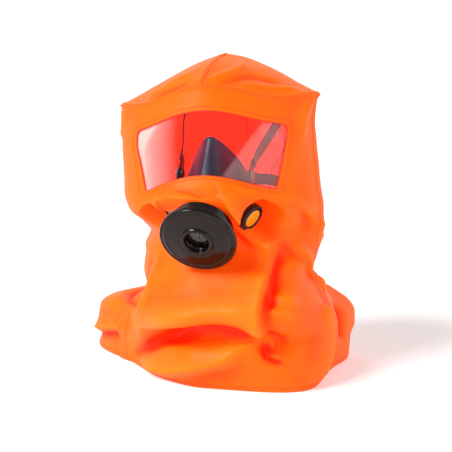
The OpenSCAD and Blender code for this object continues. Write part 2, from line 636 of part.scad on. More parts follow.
front_panel();
rear_left_panel();
rear_right_panel();
visor();
port_clamp();
filter_front_cover();
filter_rear_shell();
inlet_guard();
prefilter_pad();
particle_pleats();
carbon_bed();
carbon_screens();
neck_o_ring();
mask_body();
filter_socket();
inhalation_seat();
inhalation_flap();
flap_button();
harness_saddle();
crown_cradle();
neck_clasp();
retainer_cord();
valve_nozzle(-1);  // valve_nozzle_left
valve_nozzle(1);  // valve_nozzle_right
valve_clamp(-1);  // valve_clamp_left
valve_clamp(1);  // valve_clamp_right
exhalation_flap(-1);  // exhalation_flap_left
exhalation_flap(1);  // exhalation_flap_right
valve_cover(-1);  // valve_cover_left
valve_cover(1);  // valve_cover_right
cover_disc(-1);  // cover_disc_left
cover_disc(1);  // cover_disc_right
stud_cap(-1);  // stud_cap_left
stud_cap(1);  // stud_cap_right
yoke(-1);  // yoke_left
yoke(1);  // yoke_right
upper_strap(-1);  // upper_strap_left
upper_strap(1);  // upper_strap_right
neck_strap(-1);  // neck_strap_left
neck_strap(1);  // neck_strap_right
adjuster(-1);  // adjuster_left
adjuster(1);  // adjuster_right
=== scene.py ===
"""Smoke hood: coated cloth hood with a clear visor, half mask, disc filter, breathing valves and
head harness."""
import json
import math

import bmesh
import bpy
import numpy as np
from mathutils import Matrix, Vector


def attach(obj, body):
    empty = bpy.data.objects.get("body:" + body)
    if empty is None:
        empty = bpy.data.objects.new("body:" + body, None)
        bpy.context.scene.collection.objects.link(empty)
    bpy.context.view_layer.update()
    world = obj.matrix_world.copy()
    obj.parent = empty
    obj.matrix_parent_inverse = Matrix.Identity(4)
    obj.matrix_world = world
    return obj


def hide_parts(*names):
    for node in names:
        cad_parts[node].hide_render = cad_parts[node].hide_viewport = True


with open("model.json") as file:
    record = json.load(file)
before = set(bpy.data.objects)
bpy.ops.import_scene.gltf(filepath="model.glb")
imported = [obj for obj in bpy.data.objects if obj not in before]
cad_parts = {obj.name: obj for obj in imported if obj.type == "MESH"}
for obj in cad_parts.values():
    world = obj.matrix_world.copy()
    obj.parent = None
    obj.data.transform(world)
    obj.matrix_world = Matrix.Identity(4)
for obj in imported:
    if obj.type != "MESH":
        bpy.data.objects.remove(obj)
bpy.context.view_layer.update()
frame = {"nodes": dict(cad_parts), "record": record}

MM = 0.001

# ---------------------------------------------------------------- sizes, in millimetres
# The head's axis stands at HEAD. The mask and the filter sit a little to its side, as worn.
HEAD = np.array([23.89, 29.4, 0.0])
MASK_X = 8
FILTER_FACE = np.array([MASK_X, -180, 214])
FILTER_PITCH = 32
VALVE_FACE = np.array([62, -118, 238])
VALVE_TURN, VALVE_DROP = 68, 28
KEY_STRENGTH, WORLD_STRENGTH = 2.7, 0.33
CLOTH_T = 1.2

# Rings of the hood, from below the peak to the hem: height at the sides and at the front, reach to
# the front, back, left and right, and how square the ring is at its front left, front right and back.
OUTLINE = np.array([
    [462, 462, 0, 0, 0, 0, 2, 2, 2],
    [455, 456, 30, 34, 28, 28, 2.0, 2.0, 2.0],
    [442, 447, 66, 70, 58, 56, 1.9, 1.9, 1.9],
    [426, 435, 92, 102, 92, 86, 1.7, 1.7, 1.8],
    [411, 427, 102, 126, 122, 113, 1.55, 1.55, 1.7],
    [397, 421, 106, 140, 151, 141, 1.45, 1.45, 1.55],
    [380, 404, 113, 145, 149, 137, 1.65, 1.65, 1.7],
    [359, 386, 119, 148, 148, 135, 1.85, 1.85, 1.75],
    [337, 363, 121, 150, 148, 136, 2.0, 2.0, 1.8],
    [314, 341, 121, 151, 147, 138, 2.0, 2.0, 1.9],
    [290, 319, 121, 152, 146, 141, 2.0, 2.0, 2.0],
    [267, 298, 122, 152, 146, 143, 2.0, 2.0, 2.0],
    [254, 286, 128, 151, 141, 145, 2.0, 2.0, 2.0],
    [243, 272, 142, 150, 134, 147, 1.9, 1.9, 2.0],
    [232, 258, 145, 149, 127, 148, 1.6, 1.6, 2.0],
    [220, 242, 138, 147, 119, 148, 1.4, 1.4, 2.0],
    [208, 226, 128, 146, 107, 148, 1.5, 1.5, 2.0],
    [196, 210, 118, 144, 109, 146, 1.6, 1.7, 2.0],
    [184, 194, 112, 142, 114, 143, 1.8, 2.1, 2.0],
    [170, 175, 121, 140, 114, 138, 1.8, 2.6, 2.0],
    [148, 148, 131, 140, 115, 131, 1.8, 3.2, 2.0],
    [122, 122, 145, 143, 112, 146, 1.7, 3.8, 2.0],
    [97, 97, 154, 148, 122, 158, 1.6, 3.6, 2.0],
    [74, 74, 132, 154, 134, 163, 1.5, 4.0, 2.0],
    [50, 50, 140, 159, 140, 164, 1.4, 4.5, 2.0],
    [25, 25, 134, 163, 141, 163, 1.4, 5.0, 2.0],
    [0, 0, 128, 166, 140, 160, 1.4, 5.0, 2.0]])
CROWN_SEAM, VISOR_TOP, VISOR_BOTTOM = 5, 7, 11
MIDDLE_Y = -18
LEAN, LEAN_LOW, LEAN_HIGH = 4, 165, 255
LEFT_FLAP, RIGHT_FLAP, FLAP_TOP, FLAP_FULL = 97, 38, 120, 66


# ---------------------------------------------------------------- small helpers
def ease(t):
    u = np.clip(t, 0, 1)
    return u * u * (3 - 2 * u)


def unit(v):
    return v / np.maximum(np.linalg.norm(v, axis=-1, keepdims=True), 1e-12)


def linear(colour):
    """An sRGB hex colour as linear RGBA."""
    parts = [int(colour[i:i + 2], 16) / 255 for i in (1, 3, 5)]
    return [*(c / 12.92 if c <= 0.04045 else ((c + 0.055) / 1.055) ** 2.4 for c in parts), 1]


def mesh_object(name, points, faces, smooth=True):
    """A mesh object in the row frame from points in millimetres round the head's axis."""
    mesh = bpy.data.meshes.new(name)
    mesh.from_pydata(((np.asarray(points) + HEAD) * MM).tolist(), [], [list(f) for f in faces])
    mesh.update()
    mesh.polygons.foreach_set("use_smooth", [smooth] * len(mesh.polygons))
    piece = bpy.data.objects.new(name, mesh)
    bpy.context.collection.objects.link(piece)
    return piece


# ---------------------------------------------------------------- the hood's cloth
COLUMNS, ROWS_PER_RING = 360, 8
LAST_RING = len(OUTLINE) - 1
FILTER_DIR = np.array([0, -math.cos(math.radians(FILTER_PITCH)), -math.sin(math.radians(FILTER_PITCH))])
PORT_CLOTH, PORT_HOLE, PORT_FLAT = -39.2, 27.0, 34.5
VALVE_CLOTH, VALVE_HOLE, VALVE_FLAT = -13.15, 16.2, {-1: 20, 1: 27}


def curve_point(a, b, c, d, t):
    """A point on a Catmull-Rom curve between b and c, with a and d as their neighbours."""
    return 0.5 * (2 * b + (c - a) * t + (2 * a - 5 * b + 4 * c - d) * t * t
                  + (3 * b - a - 3 * c + d) * t ** 3)


def rings_at(j):
    """The outline's row at a fractional ring number, on a smooth curve that breaks at the crown seam."""
    k = np.minimum(j.astype(int), LAST_RING - 1)
    low = np.where(k < CROWN_SEAM, 0, CROWN_SEAM)
    high = np.where(k < CROWN_SEAM, CROWN_SEAM, LAST_RING)
    a, b, c, d = (OUTLINE[i] for i in (np.maximum(k - 1, low), k, k + 1, np.minimum(k + 2, high)))
    return curve_point(a, b, c, d, (j - k)[..., None])


def valve_frame(side):
    turn, drop = math.radians(VALVE_TURN), math.radians(VALVE_DROP)
    axis = np.array([side * math.cos(drop) * math.sin(turn), -math.cos(drop) * math.cos(turn),
                     -math.sin(drop)])
    return np.array([MASK_X + side * VALVE_FACE[0], VALVE_FACE[1], VALVE_FACE[2]]), axis


def clamp_planes():
    """Centre, direction, hole radius and flat radius of the three places where fittings clamp the cloth."""
    planes = [(FILTER_FACE + PORT_CLOTH * FILTER_DIR, FILTER_DIR, PORT_HOLE, PORT_FLAT)]
    for side in (-1, 1):
        face, axis = valve_frame(side)
        planes.append((face + VALVE_CLOTH * axis, axis, VALVE_HOLE, VALVE_FLAT[side]))
    return planes


def off_axis(p, centre, axis):
    """How far points lie along a clamp's axis, and their part across it."""
    v = p - centre
    along = v @ axis
    return along, v - along[..., None] * axis


def window_warp(s, j):
    """Column angle: the window leans in from its top corners to its bottom corners."""
    t = np.clip((j - VISOR_TOP) / (VISOR_BOTTOM - VISOR_TOP), 0, 1)
    edge = np.where(s < 0, 52 - 11 * t, 60 - 11 * t)
    inside = np.abs(s) / 60 * edge
    outside = edge + (np.abs(s) - 60) / 30 * (90 - edge)
    return np.where(np.abs(s) < 60, inside, np.where(np.abs(s) < 90, outside, np.abs(s))) * np.sign(s)


def bare_hood(s, j):
    """The cloth's outer face before its folds, and each point's own height on the pattern."""
    a = window_warp(s, j)
    r = rings_at(j)
    rad = np.radians(a)
    c, sn = np.cos(rad), np.sin(rad)
    bow = np.where(np.abs(a) < 65, np.cos(np.radians(a * 90 / 65)) ** 2, 0)
    z = r[..., 0] + (r[..., 1] - r[..., 0]) * bow
    reach_x = np.where(sn < 0, r[..., 4], r[..., 5])
    reach_y = np.where(c < 0, r[..., 3], r[..., 2])
    blend = ease((c + 0.12) / 0.24)
    p_front = np.where(sn < 0, r[..., 6], r[..., 7])
    p = r[..., 8] + (p_front - r[..., 8]) * blend
    reach_x, reach_y = np.maximum(reach_x, 1e-6), np.maximum(reach_y, 1e-6)
    reach = ((np.abs(c) / reach_y) ** p + (np.abs(sn) / reach_x) ** p) ** (-1 / p)
    wrap = (a + 112 + 180) % 360 - 180, (a - 122 + 180) % 360 - 180
    spread = ease((FLAP_TOP - z) / (FLAP_TOP - FLAP_FULL))
    reach = reach + spread * (LEFT_FLAP * np.exp(-(wrap[0] / 19) ** 2)
                              + RIGHT_FLAP * np.exp(-(wrap[1] / 17) ** 2))
    x = reach * sn
    lean = math.tan(math.radians(LEAN)) * ease((z - LEAN_LOW) / (LEAN_HIGH - LEAN_LOW))
    y = MIDDLE_Y * np.minimum(1, j / CROWN_SEAM) - reach * c
    return np.stack([x, y, z + x * lean], axis=-1), a, z


# Folds of the draped cloth. Each runs through points, and has its height, and its width on the left and
# on the right of the way it runs, in millimetres. A front fold's points are (distance to the right of the
# head's middle, height); a side fold's are (degrees round from the front, height).
BIB_LEFT, BIB_RIGHT, BIB_TOP, BIB_FOOT = -70, 88, 180, 85
FRONT_FOLDS = [
    # the roll of cloth round the filter's right side, down to the point where the bib begins
    ([(35, 270), (55, 240), (70, 210), (BIB_RIGHT, BIB_TOP)], 16, 14, 6),
    # the bib hangs straight down from there, with a sharp edge and a hollow beside it
    ([(BIB_RIGHT, BIB_TOP), (BIB_RIGHT, 130), (BIB_RIGHT, 105), (BIB_RIGHT + 10, BIB_FOOT)], 15, 3.5, 34),
    ([(BIB_RIGHT + 16, 195), (BIB_RIGHT + 16, 150), (BIB_RIGHT + 14, 110)], -10, 9, 6),
    # its left edge spreads outwards as it drops to the cape's corner
    ([(BIB_LEFT, 165), (-80, 130), (-95, 90), (-120, 50)], 8, 8, 20),
    ([(BIB_LEFT - 14, 165), (-100, 115), (-125, 70)], -7, 8, 9),
    # the roll at the bib's foot, the deep fold under it, and the ridge of the lower panel
    ([(-115, 35), (-75, 80), (0, 105), (50, 110), (BIB_RIGHT, 105)], 12, 26, 9),
    ([(-120, 20), (-70, 60), (0, BIB_FOOT), (50, 90), (BIB_RIGHT + 8, BIB_FOOT)], -22, 7, 15),
    ([(-120, 10), (-60, 15), (0, 35), (45, 50), (BIB_RIGHT + 8, BIB_FOOT)], 12, 14, 10),
    # creases that spread from the fold's right end, and the pocket below them
    ([(BIB_RIGHT, 75), (100, 50), (125, 40)], -10, 8, 6),
    ([(BIB_RIGHT + 5, 65), (110, 60)], -6, 7, 7),
    ([(BIB_RIGHT + 10, 90), (125, 70)], -5, 6, 8),
    ([(BIB_RIGHT + 8, 140), (135, 120)], 6, 8, 5),
    ([(BIB_RIGHT + 8, 120), (135, 105)], 6, 8, 5),
    # small folds in the strip between the window and the filter
    ([(-70, 260), (-35, 270), (10, 265)], 4, 6, 4),
    ([(-60, 285), (-55, 245)], 4, 4, 5),
    ([(-35, 280), (20, 275)], -3, 5, 4),
    ([(45, 285), (85, 265)], 3, 5, 6)]
SIDE_FOLDS = [
    # the pull below each corner of the crown
    ([(-85, 395), (-80, 370), (-78, 345)], 4, 14, 8),
    ([(85, 395), (75, 370), (70, 340)], 6, 8, 14),
    # creases of the crown
    ([(0, 425), (25, 437), (50, 446)], 4, 4, 7),
    ([(15, 422), (40, 427), (70, 414)], -3, 4, 6),
    ([(30, 418), (80, 402)], 3, 4, 4),
    ([(-60, 405), (-40, 420), (-15, 440)], 3, 4, 5),
    ([(-50, 405), (-10, 428)], -3, 4, 4),
    # the cape's squared front corner, and the hollow behind it
    ([(75, 110), (78, 75), (62, 0)], 12, 5, 18),
    ([(85, 100), (80, 40)], -8, 12, 9),
    # from the window's lower right corner to the seam
    ([(50, 265), (70, 235), (95, 205)], 5, 9, 5),
    ([(55, 255), (80, 215)], -4, 7, 6),
    # the right shoulder: from the neck to the top of the flap, and the flap's own folds
    ([(60, 205), (80, 160), (105, FLAP_TOP - 10)], 9, 8, 15),
    ([(55, 200), (90, 130)], -6, 10, 9),
    ([(105, 95), (105, 35)], -9, 7, 6),
    ([(120, FLAP_TOP), (122, 30)], 8, 10, 10),
    # the left flap sags in two folds between its top and the floor
    ([(-112, 105), (-90, 85), (-65, 90)], -9, 7, 6),
    ([(-108, 85), (-65, 80)], 6, 9, 8),
    ([(-110, 25), (-85, 50)], 7, 8, 6),
    ([(-110, 12), (-88, 40)], -7, 6, 6),
    ([(-126, 110), (-122, 20)], 8, 9, 12),
    # the long folds of the back and sides
    ([(118, 370), (112, 320), (116, 260), (110, 210)], -6, 16, 12),
    ([(140, 375), (146, 320), (140, 250), (146, 190), (150, 120), (146, 40)], 7, 14, 18),
    ([(166, 365), (162, 300), (168, 230), (163, 160), (166, 60)], -6, 14, 14),
    ([(-112, 370), (-116, 310), (-110, 240), (-114, 190)], 6, 12, 16),
    ([(-134, 370), (-139, 310), (-133, 240), (-138, 170), (-146, 100), (-150, 30)], -8, 14, 12),
    ([(-158, 370), (-154, 290), (-160, 220), (-156, 150), (-166, 60)], 7, 16, 12),
    ([(98, 225), (118, 214), (140, 218), (160, 206)], -6, 6, 9),
    ([(-92, 225), (-116, 218), (-140, 224), (-160, 210)], -6, 6, 9),
    ([(100, 195), (124, 190), (150, 184)], 5, 7, 10),
    ([(-96, 195), (-122, 186), (-150, 190)], 5, 7, 10)]
ROUND_MM = 142 * math.pi / 180
FOLD_DEPTH = 1.25


def smooth_path(points, n):
    """A Catmull-Rom curve through points, n steps to a segment."""
    p = np.asarray(points, float)
    p = np.vstack([2 * p[0] - p[1], p, 2 * p[-1] - p[-2]])
    t = np.linspace(0, 1, n, endpoint=False)[:, None]
    steps = [curve_point(a, b, c, d, t) for a, b, c, d in zip(p, p[1:], p[2:], p[3:])]
    return np.vstack(steps + [p[-2:-1]])


def fold_height(folds, across_mm, u, z):
    """How far some folds lift the cloth. u is each place's distance across, in the folds' own sense."""
    lift = np.zeros_like(u)
    for points, height, left, right in folds:
        path = smooth_path(points, 6) * [across_mm, 1]
        best = np.full(u.shape, 1e9)
        side, along = np.zeros_like(u), np.zeros_like(u)
        reach = 3 * max(left, right)
        near = ((u > path[:, 0].min() - reach) & (u < path[:, 0].max() + reach)
                & (z > path[:, 1].min() - reach) & (z < path[:, 1].max() + reach))
        un, zn = u[near], z[near]
        bn, sn, an = best[near], side[near], along[near]
        for k, (p, q) in enumerate(zip(path, path[1:])):
            d = q - p
            t = np.clip(((un - p[0]) * d[0] + (zn - p[1]) * d[1]) / (d @ d), 0, 1)
            du, dz = un - p[0] - t * d[0], zn - p[1] - t * d[1]
            dist = np.hypot(du, dz)
            closer = dist < bn
            bn = np.where(closer, dist, bn)
            sn = np.where(closer, d[0] * dz - d[1] * du, sn)
            an = np.where(closer, (k + t) / (len(path) - 1), an)
        width = np.where(sn > 0, left, right)
        taper = ease(an / 0.22) * ease((1 - an) / 0.22)
        taper = 0.25 * (bn < 1e8) + 0.75 * taper
        lift[near] += FOLD_DEPTH * height * taper * np.exp(-(bn / width) ** 1.3)
    return lift


def wrinkles(p, a, z):
    """Small soft creases of coated cloth: ridges of crossing waves, more of them at the neck and cape."""
    rng = np.random.default_rng(11)
    total = np.zeros_like(z)
    for size, height in ((150, 2.6), (85, 1.6), (46, 0.9), (27, 0.45)):
        wave = np.zeros_like(z)
        for _ in range(5):
            direction = unit(rng.normal(size=3) * [1, 1, 0.8]) * 2 * math.pi / (size * rng.uniform(0.75,
                                                                                                   1.3))
            bend = unit(rng.normal(size=3)) * 2 * math.pi / (size * 2.1)
            wave += np.sin(p @ direction + 1.3 * np.sin(p @ bend + rng.uniform(0, 6)) + rng.uniform(0, 6))
        total += height * (1 - 1.25 * np.abs(wave / 2.6))
    slack = 0.2 + 0.15 * ease((270 - z) / 60) + 0.25 * ease((np.abs(a) - 95) / 45)
    return total * slack



# The window on the cut pattern: millimetres to a column degree and to a ring, and its corners' radii.
COLUMN_MM, RING_MM = 2.1, 24
CORNER_RADII = {(-1, -1): 7, (1, -1): 10, (-1, 1): 3, (1, 1): 5}
WINDOW_MIDDLE, WINDOW_HALF = (VISOR_TOP + VISOR_BOTTOM) / 2, (VISOR_BOTTOM - VISOR_TOP) / 2


def corner_radius(s, j):
    return sum(radius * ((np.sign(s) == a) | ((s == 0) & (a == 1))) * (np.where(j < WINDOW_MIDDLE, -1,
                                                                                1) == b)
               for (a, b), radius in CORNER_RADII.items())


def window_depth(s, j):
    """How far inside the window's rounded outline a place on the pattern lies, in millimetres."""
    x, y = (60 - np.abs(s)) * COLUMN_MM, (WINDOW_HALF - np.abs(j - WINDOW_MIDDLE)) * RING_MM
    radius = corner_radius(s, j)
    rounded = radius - np.hypot(radius - x, radius - y)
    return np.where((x < radius) & (y < radius), rounded, np.minimum(x, y))


def window_outline(grow):
    """Pattern places along the window's rounded outline, grown outwards by a distance."""
    loop = []
    for a, b in ((1, -1), (1, 1), (-1, 1), (-1, -1)):
        radius = CORNER_RADII[a, b]
        turn = np.linspace(0, math.pi / 2, 9)
        if a * b < 0:
            turn = turn[::-1]
        x, y = radius - (radius + grow) * np.cos(turn), radius - (radius + grow) * np.sin(turn)
        corner = np.stack([a * (60 - x / COLUMN_MM), WINDOW_MIDDLE + b * (WINDOW_HALF - y / RING_MM)],
                          axis=-1)
        loop.append(corner)
    loop = np.vstack(loop + [loop[0][:1]])
    dense = [loop[:1]]
    for p, q in zip(loop, loop[1:]):
        steps = max(1, int(max(abs(q[0] - p[0]) / 1.2, abs(q[1] - p[1]) * 8)))
        dense.append(p + (q - p) * np.arange(1, steps + 1)[:, None] / steps)
    return np.vstack(dense)


def rounded_corners(s, j):
    """Moves the grid's points at the window's corners onto its rounded outline."""
    cell_s, cell_j = s[:-1, :] + 180 / COLUMNS, (j[:-1] + j[1:]) / 2
    inside = window_depth(cell_s, cell_j) > 0
    touches = np.zeros(s.shape, int)
    for dj in (0, 1):
        for di in (0, 1):
            touches[dj:len(s) - 1 + dj] += np.roll(inside, di, axis=1)
    x, y = (60 - np.abs(s)) * COLUMN_MM, (WINDOW_HALF - np.abs(j - WINDOW_MIDDLE)) * RING_MM
    radius = corner_radius(s, j)
    move = (touches > 0) & (touches < 4) & (x < radius) & (y < radius)
    pull = radius / np.maximum(np.hypot(radius - x, radius - y), 1e-6)
    new_s = np.sign(s) * (60 - (radius - (radius - x) * pull) / COLUMN_MM)
    new_j = WINDOW_MIDDLE + np.sign(j - WINDOW_MIDDLE) * (
        WINDOW_HALF - (radius - (radius - y) * pull) / RING_MM)
    return np.where(move, new_s, s), np.where(move, new_j, j)


def blurred(values, reach=9):
    """A grid's values averaged over their neighbours, round the hood and up and down it."""
    for axis, mode in ((1, "wrap"), (0, "edge")):
        pad = [(reach, reach) if k == axis else (0, 0) for k in (0, 1)]
        sums = np.cumsum(np.pad(values, pad, mode=mode), axis=axis)
        sums = np.insert(sums, 0, 0, axis=axis)
        width, n = 2 * reach + 1, values.shape[axis]
        values = (np.take(sums, range(width, n + width), axis) - np.take(sums, range(n), axis)) / width
    return values


def hood_grid():
    """The folded cloth's outer face: points, column angles, ring numbers, and how high each point lies
    against its neighbours, which gives the painted shade in the hollows and the painted highlight on the
    crests.
    """
    s = np.arange(COLUMNS) * 360 / COLUMNS - 180
    j = np.arange(1, LAST_RING * ROWS_PER_RING + 1) / ROWS_PER_RING
    j, s = np.meshgrid(j, s, indexing="ij")
    warped_s, warped_j = rounded_corners(s, j)
    p, a, z = bare_hood(warped_s, warped_j)
    round_way = np.roll(p, -1, axis=1) - np.roll(p, 1, axis=1)
    normal = unit(np.cross(round_way, -np.gradient(p, axis=0)))
    quiet = ease((j - 0.5) / 2)
    near_window = 0.04 + 0.96 * ease((-window_depth(s, j) - 6) / 22)
    hem = 1 - 0.75 * ease((j - LAST_RING + 0.5) / 0.5)
    facing = ease((96 - np.abs(a)) / 20)
    top_edge = 3 * np.exp(-((j - CROWN_SEAM - 0.1) * RING_MM / 6) ** 2) * ease((92 - np.abs(s)) / 4)
    folds = (fold_height(FRONT_FOLDS, 1, p[..., 0], z) * facing + fold_height(SIDE_FOLDS, ROUND_MM,
                                                                              a * ROUND_MM, z)
             + top_edge)
    lift = (folds + wrinkles(p, a, z) * quiet) * near_window * hem
    # painted shade and painted highlight: 0.5 where the cloth lies level with its neighbours, less in hollows
    # and more on crests; the material paints the hollows red and the crests paler
    painted_fold_shading = np.clip(0.5 + (lift - blurred(lift)) / 16, 0, 1)
    p = p + normal * lift[..., None]
    # seams: a lapped edge on the front panel, and the line that each seam pulls in
    lap = 1.3 * ((np.abs(s) < 90) & (j > CROWN_SEAM)) * ease((np.abs(s) - 84) / 2)
    pulled = -1.6 * np.exp(-((np.abs(s) - 90.6) / 1.4) ** 2) * (j > CROWN_SEAM)
    centre = np.minimum(np.abs(s), 180 - np.abs(s)) * np.radians(1) * np.hypot(p[..., 0], p[...,
                                                                                            1] - MIDDLE_Y)
    centre = np.where((np.abs(s) < 90) & (j > CROWN_SEAM), 99, centre)
    pulled += -1.6 * np.exp(-(centre / 2.2) ** 2) + 0.9 * np.exp(-((centre - 5) / 3) ** 2)
    p = p + normal * (lap + pulled)[..., None]
    p = clear_of_fittings(p)
    p[-1, :, 2] = 0
    return p, s, j, painted_fold_shading


def clear_of_fittings(p):
    """Clamps the cloth flat in its fittings, and keeps it behind the filter's body."""
    along, across = off_axis(p, FILTER_FACE, FILTER_DIR)
    off = np.linalg.norm(across, axis=-1)
    room = np.where(off < 62, np.minimum(along, -36 + np.maximum(0, off - 46.5) * 3.4), along)
    room = np.where(np.abs(along) < 90, room, along)
    p = p + (room - along)[..., None] * FILTER_DIR
    for centre, axis, _, flat in clamp_planes():
        along, across = off_axis(p, centre, axis)
        off = np.linalg.norm(across, axis=-1)
        hold = (1 - ease((off - flat) / 9)) * (np.abs(along) < 45)
        p = p - (along * hold)[..., None] * axis
    return p


def cloth_panel(name, points, s, j, painted_fold_shading, wanted, lining):
    """One cut panel of the hood, with the fittings' holes, its wall thickness and its lining."""
    rows, columns = points.shape[:2]
    mesh = bmesh.new()
    flat = points.copy()
    cell = (flat + np.roll(flat, -1, axis=1)) / 2
    cell = (cell[:-1] + cell[1:]) / 2
    open_cell = np.zeros(cell.shape[:2], bool)
    for centre, axis, hole, _ in clamp_planes():
        along, across = off_axis(cell, centre, axis)
        inside = (np.abs(along) < 8) & (np.linalg.norm(across, axis=-1) < hole)
        open_cell |= inside
        touches = np.zeros((rows, columns), int)
        for dj in (0, 1):
            for di in (0, 1):
                touches[dj:rows - 1 + dj] += np.roll(inside, di, axis=1)
        edge = (touches > 0) & (touches < 4)
        along, across = off_axis(flat, centre, axis)
        off = np.linalg.norm(across, axis=-1)
        shift = across * (hole / np.maximum(off, 1e-6) - 1)[..., None]
        flat[edge] += shift[edge]
    middle_s = s[:-1] + 180 / COLUMNS
    middle_j = (j[:-1] + j[1:]) / 2
    keep = wanted(middle_s, middle_j) & ~open_cell
    vertices = {}
    # each point keeps its painted shade and highlight value, which the cloth's material reads
    layer = mesh.verts.layers.float.new("painted_fold_shading")

    def vertex(row, column):
        key = row, column % columns
        if key not in vertices:
            vertices[key] = mesh.verts.new((flat[key] + HEAD) * MM)
            vertices[key][layer] = painted_fold_shading[key]
        return vertices[key]

    for row, column in np.argwhere(keep):
        mesh.faces.new([vertex(row, column), vertex(row + 1, column), vertex(row + 1, column + 1),
                        vertex(row, column + 1)])
    first = wanted(middle_s[0], np.full(columns, 0.01))
    if first.any():
        peak = mesh.verts.new((np.array([0, 0, flat[0, :, 2].mean() + 1.2]) + HEAD) * MM)
        peak[layer] = 0.5
        for column in np.nonzero(first)[0]:
            mesh.faces.new([peak, vertex(0, column), vertex(0, column + 1)])
    for face in mesh.faces:
        face.smooth = True
    data = bpy.data.meshes.new(name)
    mesh.to_mesh(data)
    mesh.free()
    panel = bpy.data.objects.new(name, data)
    bpy.context.collection.objects.link(panel)
    data.materials.append(lining[0])
    data.materials.append(lining[1])
    wall = panel.modifiers.new("cloth thickness", "SOLIDIFY")
    wall.thickness, wall.offset, wall.material_offset = CLOTH_T * MM, -1, 1
    return baked(panel)


def baked(piece):
    """The piece as a plain mesh, with its modifiers worked in."""
    bpy.context.view_layer.update()
    evaluated = piece.evaluated_get(bpy.context.evaluated_depsgraph_get())
    data = bpy.data.meshes.new_from_object(evaluated)
    piece.modifiers.clear()
    piece.data = data
    return piece



class Cloth:
    """The finished outer face of the hood, to place seams and stitches on."""

    def __init__(self, points):
        self.points = points
        self.normals = unit(np.cross(np.roll(points, -1, axis=1) - np.roll(points, 1, axis=1),
                                     -np.gradient(points, axis=0)))

    def at(self, places, lift=0.0):
        """Points on the cloth at pattern places (degrees, ring), lifted off it."""
        column = (np.asarray(places)[:, 0] + 180) * COLUMNS / 360
        row = np.clip(np.asarray(places)[:, 1] * ROWS_PER_RING - 1, 0, len(self.points) - 1.001)
        c0, r0 = np.floor(column).astype(int), np.floor(row).astype(int)
        u, v = (column - c0)[:, None], (row - r0)[:, None]

        def mixed(grid):
            a, b = grid[r0, c0 % COLUMNS], grid[r0, (c0 + 1) % COLUMNS]
            c, d = grid[r0 + 1, c0 % COLUMNS], grid[r0 + 1, (c0 + 1) % COLUMNS]
            return (a * (1 - u) + b * u) * (1 - v) + (c * (1 - u) + d * u) * v

        return mixed(self.points) + lift * unit(mixed(self.normals))


def tree_with(name, sizes, geometry_in=True):
    """A Geometry Nodes tree with named size inputs and a material input, returned with its input and output
    nodes.
    """
    tree = bpy.data.node_groups.new(name, "GeometryNodeTree")
    tree.interface.new_socket("Geometry", in_out="OUTPUT", socket_type="NodeSocketGeometry")
    if geometry_in:
        tree.interface.new_socket("Geometry", in_out="INPUT", socket_type="NodeSocketGeometry")
    for label in sizes:
        kind = "NodeSocketInt" if isinstance(sizes[label], int) else "NodeSocketFloat"
        tree.interface.new_socket(label, in_out="INPUT", socket_type=kind)
    tree.interface.new_socket("Material", in_out="INPUT", socket_type="NodeSocketMaterial")
    return tree, node(tree, "NodeGroupInput"), node(tree, "NodeGroupOutput")


def grown(name, base, tree, sizes, material):
    """Runs a tree on a base mesh and keeps the result as a plain mesh."""
    piece = bpy.data.objects.new(name, base)
    bpy.context.collection.objects.link(piece)
    modifier = piece.modifiers.new("nodes", "NODES")
    modifier.node_group = tree
    values = {**sizes, "Material": material}
    for item in tree.interface.items_tree:
        if item.in_out == "INPUT" and item.name in values:
            modifier[item.identifier] = values[item.name]
    baked(piece)
    piece.data.materials.clear()
    piece.data.materials.append(material)
    return piece


def stitch_tree():
    """Stitches: short rounded lengths of thread laid end to end along each path."""
    tree, inputs, outputs = tree_with("stitch_rows", {"Spacing": 0.0, "Length": 0.0, "Thread": 0.0})
    path = node(tree, "GeometryNodeMeshToCurve", Mesh=inputs.outputs["Geometry"])
    places = node(tree, "GeometryNodeCurveToPoints", {"mode": "LENGTH"}, Curve=path.outputs["Curve"],
                  Length=inputs.outputs["Spacing"])
    bead = node(tree, "GeometryNodeMeshUVSphere", Segments=6, Rings=4, Radius=0.5)
    size = node(tree, "ShaderNodeCombineXYZ", X=inputs.outputs["Thread"], Y=inputs.outputs["Thread"],
                Z=inputs.outputs["Length"])
    laid = node(tree, "GeometryNodeInstanceOnPoints", Points=places.outputs["Points"],
                Instance=bead.outputs["Mesh"], Rotation=places.outputs["Rotation"],
                Scale=size.outputs["Vector"])
    real = node(tree, "GeometryNodeRealizeInstances", Geometry=laid.outputs["Instances"])
    made = node(tree, "GeometryNodeSetMaterial", Geometry=real.outputs["Geometry"],
                Material=inputs.outputs["Material"])
    tree.links.new(made.outputs["Geometry"], outputs.inputs["Geometry"])
    return tree


def stitches(name, paths, material, spacing=4.4, length=3.3, thread=0.9):
    points, edges = [], []
    for path in paths:
        start = len(points)
        points += ((np.asarray(path) + HEAD) * MM).tolist()
        edges += [(start + k, start + k + 1) for k in range(len(path) - 1)]
    base = bpy.data.meshes.new(name)
    base.from_pydata(points, edges, [])
    sizes = {"Spacing": spacing * MM, "Length": length * MM, "Thread": thread * MM}
    return grown(name, base, stitch_tree(), sizes, material)


def lathe(profile, segments=160):
    """Rows of a turned shape: its profile (radius, height) spun round Z. Returns points and faces."""
    turn = np.arange(segments) * 2 * math.pi / segments
    points = [(r * math.cos(t), r * math.sin(t), z) for r, z in profile for t in turn]
    faces = [(i * segments + k, i * segments + (k + 1) % segments, (i + 1) * segments + (k + 1) % segments,
              (i + 1) * segments + k) for i in range(len(profile) - 1) for k in range(segments)]
    return np.array(points), faces


